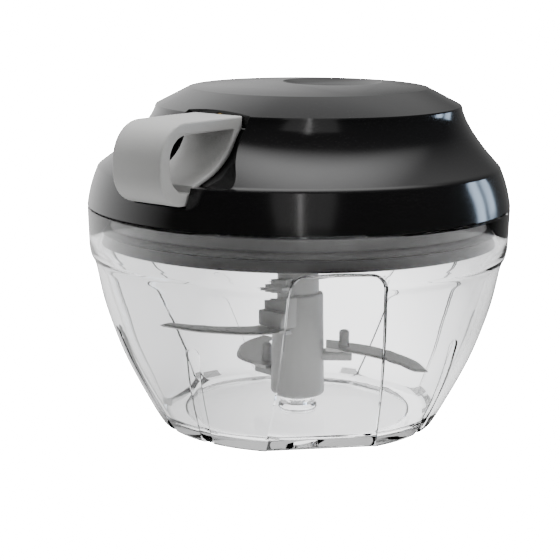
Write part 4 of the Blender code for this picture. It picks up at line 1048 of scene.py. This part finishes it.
def build_metal_group():
    group, source, sink = new_group(
        "worked_metal",
        [
            ("Colour", "NodeSocketColor", (0.6, 0.6, 0.6, 1)), ("Roughness", "NodeSocketFloat", 0.25),
            ("Brushing", "NodeSocketFloat", BRUSHING), ("Tarnish", "NodeSocketFloat", TARNISH),
            ("Brush Scale", "NodeSocketVector", ROUND_BRUSH),
        ],
        [("Colour", "NodeSocketColor"), ("Roughness", "NodeSocketFloat"), ("Height", "NodeSocketFloat")],
    )
    place = add(group, "ShaderNodeTexCoord").outputs["Object"]
    stretch = add(group, "ShaderNodeVectorMath", operation="MULTIPLY")
    feed(group, stretch, (0, place), (1, source.outputs["Brush Scale"]))
    lines = noise(group, stretch.outputs[0], 1.0, LINE_DETAIL)
    brushed = spread(group, lines, *LINE_RANGE, -0.5, 1.0)
    change = math(group, "MULTIPLY", brushed, source.outputs["Brushing"])
    rough = math(group, "ADD", source.outputs["Roughness"], change)
    cloud = spread(group, noise(group, place, CLOUD_SCALE), *CLOUD_RANGE, 0.0, 1.0)
    stain = math(group, "MULTIPLY", cloud, source.outputs["Tarnish"])
    dull = add(group, "ShaderNodeHueSaturation")
    feed(group, dull, ("Color", source.outputs["Colour"]), ("Value", DULL_VALUE))
    colour = blend_colours(group, stain, source.outputs["Colour"], dull.outputs[0])
    feed(group, sink, ("Colour", colour), ("Roughness", rough), ("Height", lines))
    return group


METAL = build_metal_group()


def metal(name, colour, roughness, brush=ROUND_BRUSH):
    values = (("Roughness", roughness), ("Brushing", BRUSHING), ("Tarnish", TARNISH), ("Brush Scale", brush))
    return surfaced(name, METAL, colour, values, (("Metallic", 1.0),), BRUSH_RELIEF)


blade_steel = metal("blade_steel", (0.33, 0.327, 0.318), 0.38, BLADE_BRUSH)
plain_steel = metal("plain_steel", (0.56, 0.56, 0.57), 0.28)
spring_steel = metal("spring_steel", (0.35, 0.36, 0.40), 0.25)
eyelet_brass = metal("eyelet_brass", (0.72, 0.52, 0.24), 0.22)

for name, node, *shape in BLADES:
    dress(build_blade(name, *shape), blade_steel, "blade_steel", "blades", node)

# %% [markdown]
# ## Spindle
# The spindle is one moulding: a stout barrel, a slimmer shaft above it with a hexagon on top, and three
# blade carriers. The lower two lie under their blades, with a tall stud that goes through each, and the
# upper one hangs its blade below it and climbs to the shaft in steps. The barrel is turned, the carriers
# are bevelled towers joined to it, and a bore takes the pivot pin.

# %% Spindle
BODY_RADIUS = 0.0078
FOOT_RADIUS = 0.0084
BODY_TOP = 0.0404
SHAFT_RADIUS = 0.0065
SHAFT_TOP = BOWL_HEIGHT - 0.0084
SPINDLE_BOTTOM = 0.0079
HEX_RADIUS = 0.0046
HEX_TOP = SHAFT_TOP + 0.0080
CARRIER_DEPTH = 0.0026
CARRIER_RISE = 0.0061
CARRIER_EDGE = 0.0004
STUD_HEIGHT = 0.0058
STUD_CROWN_SHARE = 0.6
STUD_STEPS = 7
SHORT_STUD = 0.0014
STUD_EDGE = 0.0002
FOOT_ROUND = 0.0012
TOP_ROUND = FOOT_ROUND * 0.6
ROUND_POINTS = 6
SHAFT_MIDDLE = 0.0490
BORE_TOP = 0.0200
STEP_OVERLAP = 0.0010
STEP_EDGE = 0.0003
ROUND_SIDES = 32
# Each step: reach, half width, height above the blade
STEPS = ((0.0100, 0.0050, 0.0104), (0.0090, 0.0034, 0.0128))


def root_tower(name, start, reach, half, low, high, angle, edge=0.0):
    block = tower(name, [(start, reach, 0.0, half, low), (start, reach, 0.0, half, high)])
    if edge:
        bevel(block, edge)
    return turned_to(block, angle + ROOT_TURN)


def build_stud(angle, place, low, top):
    crown = STUD_RADIUS * STUD_CROWN_SHARE
    outline = [(STUD_RADIUS, low)]
    outline += arc(STUD_RADIUS - crown, top - crown, crown, 0, pi / 2, STUD_STEPS)[:-1]
    return turned("stud", outline, ROUND_SIDES, stud_spot(angle, place), closed=False)


def add_carrier(spindle, node, angle, height, hold):
    """The block that a blade is fixed to, under the lower blades and over the upper one."""
    _, reach, half, place = hold
    away = BLADE_HALF + SLACK
    start = BODY_RADIUS / 2
    if node == "blade_upper":
        low, high = height + away, height + CARRIER_RISE
        for step_reach, step_half, rise in STEPS:
            foot, head = high - STEP_OVERLAP, height + rise
            step = root_tower("step", start, step_reach, step_half, foot, head, angle, STEP_EDGE)
            cut(spindle, step, "UNION")
        foot = height - SHORT_STUD
        outline = [(STUD_RADIUS, low + SLACK), (STUD_RADIUS, foot + STUD_EDGE)]
        outline.append((STUD_RADIUS - STUD_EDGE, foot))
        stud = turned("stud", outline, ROUND_SIDES, stud_spot(angle, place), closed=False)
    else:
        low, high = height - away - CARRIER_DEPTH, height - away
        stud = build_stud(angle, place, high - SLACK, height + STUD_HEIGHT)
    cut(spindle, root_tower("carrier", start, reach, half, low, high, angle, CARRIER_EDGE), "UNION")
    cut(spindle, stud, "UNION")


def barrel_outline():
    foot = (FOOT_RADIUS - FOOT_ROUND, SPINDLE_BOTTOM + FOOT_ROUND)
    top = (BODY_RADIUS - TOP_ROUND, BODY_TOP - TOP_ROUND)
    outline = arc(*foot, FOOT_ROUND, -pi / 2, 0, ROUND_POINTS)
    outline += arc(*top, TOP_ROUND, 0, pi / 2, ROUND_POINTS)
    outline += [(SHAFT_RADIUS, BODY_TOP), (SHAFT_RADIUS - SLACK / 3, SHAFT_MIDDLE)]
    return outline + [(SHAFT_RADIUS - SLACK / 2, SHAFT_TOP - SLACK), (SHAFT_RADIUS - SLACK * 2, SHAFT_TOP)]


def build_spindle():
    spindle = turned("spindle", barrel_outline(), 96, closed=False)
    for _, node, angle, height, _, hold in BLADES:
        add_carrier(spindle, node, angle, height, hold)
    hexagon = [(HEX_RADIUS, SHAFT_TOP - OVERRUN), (HEX_RADIUS, HEX_TOP - SLACK)]
    hexagon += [(HEX_RADIUS - SLACK, HEX_TOP)]
    cut(spindle, turned("hexagon", hexagon, 6, closed=False), "UNION")
    drill(spindle, [(PIN_RADIUS, SPINDLE_BOTTOM - OVERRUN), (PIN_RADIUS, BORE_TOP)], ROUND_SIDES)
    return smooth(spindle, radians(30))


dress(build_spindle(), spindle_grey, "grey_plastic", "blades", "blade_spindle")

# %% [markdown]
# ## The rest of the works
# Reel, hub, pawls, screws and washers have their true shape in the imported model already, so they stay,
# and only get a finish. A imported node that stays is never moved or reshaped: its materials alone change.

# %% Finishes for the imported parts
NODE_FINISHES = {
    "pivot_pin": plain_steel, "thrust_washer": plain_steel, "bearing_plate": base_grey,
    "hub_bush": works_white, "reel": works_white, "drive_hub": works_white, "spring_cover": base_grey,
    "recoil_spring": spring_steel, "cord_eyelet": eyelet_brass,
}


def finish_node(thing, material):
    thing.data.materials.clear()
    thing.data.materials.append(material)


for name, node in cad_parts.items():
    finish_node(node, NODE_FINISHES.get(name, plain_steel))

# %% [markdown]
# ## The cord
# The cord is braided and 1.6 mm thick. Most of it is wound flat on the reel, and a short lead runs through
# the brass eyelet to a knot in the handle. When the handle is pulled, cord has to show between the cover
# and the handle, so this run is one tube with many rings packed into the gap.

# %% Cord
CORD_RADIUS = 0.0008
EYELET_INNER = HANDLE_REAR - 0.0034
EYELET_END = HANDLE_REAR - 0.0007
WINDING_TURNS = 2.75
WINDING_PITCH = 0.0023
WINDING_STEPS = 48
DRUM_RADIUS = 0.0204
WINDING_END = DRUM_RADIUS + SLACK + CORD_RADIUS + WINDING_PITCH * WINDING_TURNS
LEAVE_ANGLE = -pi / 2 - acos(WINDING_END / EYELET_INNER)
LEAD_STEPS = 16
EYELET_STEPS = 8
GAP_STEPS = 60
REAR_STEPS = 12
KNOT_OVERLAP = 0.0006
KNOT_TURNS = 3
KNOT_STEPS = 48
KNOT_LENGTH = 0.0022
KNOT_COIL = 0.0007
KNOT_CORD = 0.0006
STRAND_SCALE = 3500.0
STRAND_DETAIL = 2.0
STRAND_RELIEF = (0.4, 0.1 * MM)
CORD_DARK = (0.55, 0.54, 0.50, 1)
CORD_PALE = (0.82, 0.81, 0.77, 1)


def cord_fibre():
    material, tree, shader = new_material("cord_fibre")
    place = add(tree, "ShaderNodeTexCoord").outputs["Object"]
    strand = noise(tree, place, STRAND_SCALE, STRAND_DETAIL)
    colour = blend_colours(tree, strand, CORD_DARK, CORD_PALE)
    feed(tree, shader, ("Base Color", colour), ("Roughness", 0.8), ("Sheen Weight", 0.3))
    add_relief(tree, strand, *STRAND_RELIEF)
    return material


def tube(name, points, radius=CORD_RADIUS):
    thing = from_curve(name, "3D", [points], bevel_depth=radius, bevel_resolution=3, use_fill_caps=True)
    return smooth(thing, radians(60))


def winding_points():
    steps = round(WINDING_STEPS * WINDING_TURNS)
    points = []
    for i in range(steps + 1):
        back = (steps - i) / WINDING_STEPS
        radius = WINDING_END - WINDING_PITCH * back
        angle = LEAVE_ANGLE - tau * back
        points.append((radius * cos(angle), radius * sin(angle), CORD_HEIGHT))
    return points


def run_points():
    """From the winding through the eyelet, over the gap to the handle, and on to the knot."""
    start_x = WINDING_END * cos(LEAVE_ANGLE)
    start_y = WINDING_END * sin(LEAVE_ANGLE)
    points = []
    for share in even(LEAD_STEPS)[1:]:
        points.append((start_x * (1 - share), start_y + (-EYELET_INNER - start_y) * share, CORD_HEIGHT))
    last = KNOT_PLACE - KNOT_ROOM / 2 + KNOT_OVERLAP
    reaches = (EYELET_INNER, EYELET_END, HANDLE_REAR, last)
    for near, far, steps in zip(reaches, reaches[1:], (EYELET_STEPS, GAP_STEPS, REAR_STEPS)):
        points += [(0, -near - (far - near) * share, CORD_HEIGHT) for share in even(steps)[1:]]
    return points


def knot_points():
    """Snug turns round the cord's end."""
    points = []
    for share in even(KNOT_STEPS):
        angle = tau * KNOT_TURNS * share
        reach = KNOT_PLACE + KNOT_LENGTH * (share - 0.5)
        points.append((KNOT_COIL * cos(angle), -reach, CORD_HEIGHT + KNOT_COIL * sin(angle)))
    return points


fibre = cord_fibre()
dress(tube("cord_coil", winding_points()), fibre, "cord_fibre", "reel", "cord_winding")
dress(tube("cord_knot", knot_points(), KNOT_CORD), fibre, "cord_fibre", "handle")
run = tube("cord_run", run_points())
run.data.materials.append(fibre)
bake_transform(run)
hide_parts("cord_lead", "pull_cord")

# %% [markdown]
# ## Studio
# The chopper stands on a plain pale floor that the camera itself doesn't see, so that it stands on white.
# The floor still lights the clear bowl, because a look through its wall ends on the floor: it glows behind
# the chopper, most in a strip a little right of the middle, and hardly at all in front.

# %% Floor
FLOOR_TONE = 0.3
STRIP_PLACE = 25 * MM
STRIP_HALVES = (15 * MM, 70 * MM)
STRIP_GLOWS = (3.6, 1.4)
GLOW_DEPTHS = (-200 * MM, -80 * MM)
FRONT_GLOW = 0.12

bpy.ops.mesh.primitive_plane_add(size=6, location=(0, 0, 0))
floor = bpy.context.object
floor.name = "floor"
paper, sheet, paper_shader = new_material("white_paper")
feed(sheet, paper_shader, ("Base Color", (FLOOR_TONE, FLOOR_TONE, FLOOR_TONE, 1)), ("Roughness", 0.9))


def along(tree, place, vector):
    """How far a place or a direction lies along a vector."""
    node = add(tree, "ShaderNodeVectorMath", operation="DOT_PRODUCT")
    return feed(tree, node, (0, place), (1, vector)).outputs["Value"]


to_right = Vector((-toward_camera.y, toward_camera.x, 0))
spot = add(sheet, "ShaderNodeTexCoord").outputs["Object"]
aside = math(sheet, "ABSOLUTE", math(sheet, "SUBTRACT", along(sheet, spot, to_right), STRIP_PLACE))
strip = spread(sheet, aside, *STRIP_HALVES, *STRIP_GLOWS)
glow = spread(sheet, along(sheet, spot, -toward_camera), *GLOW_DEPTHS, FRONT_GLOW, strip)
feed(sheet, paper_shader, ("Emission Color", (1, 1, 1, 1)), ("Emission Strength", glow))
floor.data.materials.append(paper)
floor.visible_camera = False
floor.visible_glossy = False
print("floor glow behind the chopper:", STRIP_GLOWS)

# %% [markdown]
# ## The room
# Gloss black shows everything round it, so the room is drawn as a few soft glows instead of hard lights: a
# high one at the back for the flat top, one to the left and a faint one opposite the camera. A direction's
# cosine to a glow's middle tells how bright it is. Rays that come through the bowl get an even tone, and
# the camera's own rays get white.

# %% Room
SLANT_RANGE = (1.06, 1.32)
SLANT_GLOW = 6.5
HEIGHT_RANGE = (0.25, 0.7)
REACH_RANGE = (0.25, 0.45)
REACH_SHARES = (1.0, 0.12)
FAR_RANGE = (0.55, 1.0)
FAR_GLOWS = (0.02, 0.25)
LEFT_MIDDLE = (Vector((0, 0, 0.1)) - to_right * 0.75 - toward_camera * 0.6).normalized()
LEFT_RANGE = (0.55, 1.0)
LEFT_GLOW = 1.8
THROUGH_RANGE = (0.4, 0.85)
THROUGH_GLOWS = (0.35, 0.95)
WHITE_GLOW = 30.0

world = bpy.data.worlds.new("room")
world.use_nodes = True
bpy.context.scene.world = world
room = world.node_tree
direction = add(room, "ShaderNodeTexCoord").outputs["Generated"]
far = along(room, direction, -toward_camera)
upward = along(room, direction, (0, 0, 1))
slanted = spread(room, math(room, "ADD", upward, far), *SLANT_RANGE, 0.0, SLANT_GLOW)
high_share = spread(room, upward, *HEIGHT_RANGE, 0.0, 1.0)
reach_share = spread(room, far, *REACH_RANGE, *REACH_SHARES)
overhead = math(room, "MULTIPLY", slanted, math(room, "MULTIPLY", high_share, reach_share))
far_side = spread(room, far, *FAR_RANGE, *FAR_GLOWS)
left_side = spread(room, along(room, direction, LEFT_MIDDLE), *LEFT_RANGE, 0.0, LEFT_GLOW)
mirrored = math(room, "ADD", math(room, "ADD", overhead, far_side), left_side)
through = spread(room, far, *THROUGH_RANGE, *THROUGH_GLOWS)
rays = add(room, "ShaderNodeLightPath").outputs
seen_through = math(room, "MULTIPLY", rays["Is Transmission Ray"], math(room, "SUBTRACT", through, mirrored))
light = math(room, "ADD", mirrored, seen_through)
straight = math(room, "MULTIPLY", rays["Is Camera Ray"], WHITE_GLOW)
total = math(room, "ADD", light, straight)
feed(room, room.nodes["Background"], ("Color", (1, 1, 1, 1)), ("Strength", total))
print("room nodes:", len(room.nodes))

# %% [markdown]
# ## Soft boxes
# Three wide boxes light the matt pieces and stay out of the gloss. A tall narrow box near the camera, with
# a faint wide one behind it, draws the upright streak on the black, and two panes of cool light at the
# right draw the window in it.

# %% Soft boxes
WHITE = (1, 1, 1)
WINDOW_BLUE = (0.62, 0.78, 1.0)
AIM_HEIGHT = 0.06
# Each box: name, azimuth from the camera to its right and elevation in degrees, distance, width, height,
# power, whether the gloss shows it, colour
SOFT_BOXES = (
    ("key_left", -80, 35, 0.9, 0.6, 0.6, 1.5, False, WHITE),
    ("fill_right", 60, 30, 1.0, 0.5, 0.7, 6.0, False, WHITE),
    ("top", 180, 80, 0.9, 0.7, 0.7, 18.0, False, WHITE),
    ("streak", 1, 40, 0.8, 0.012, 1.0, 0.4, True, WHITE),
    ("streak_glow", 3, 40, 0.9, 0.5, 1.0, 0.9, True, WHITE),
    ("window_pane_1", 111, 8, 1.0, 0.14, 0.30, 1.6, True, WINDOW_BLUE),
    ("window_pane_2", 123, 8, 1.0, 0.14, 0.30, 1.0, True, WINDOW_BLUE),
)


def soft_box(name, azimuth, elevation, distance, width, height, power, in_gloss, colour):
    """An area light that points at the chopper from round it."""
    data = bpy.data.lights.new(name, "AREA")
    data.shape = "RECTANGLE"
    data.size = width
    data.size_y = height
    data.energy = power
    data.color = colour
    box = bpy.data.objects.new(name, data)
    box.visible_glossy = in_gloss
    bpy.context.scene.collection.objects.link(box)
    angle = CAMERA_AZIMUTH + radians(azimuth)
    level = cos(radians(elevation))
    out = Vector((sin(angle) * level, -cos(angle) * level, sin(radians(elevation))))
    box.location = out * distance + Vector((0, 0, AIM_HEIGHT))
    box.rotation_euler = out.to_track_quat("Z", "Y").to_euler()
    print(name, "at", [round(value, 2) for value in box.location])


for row in SOFT_BOXES:
    soft_box(*row)
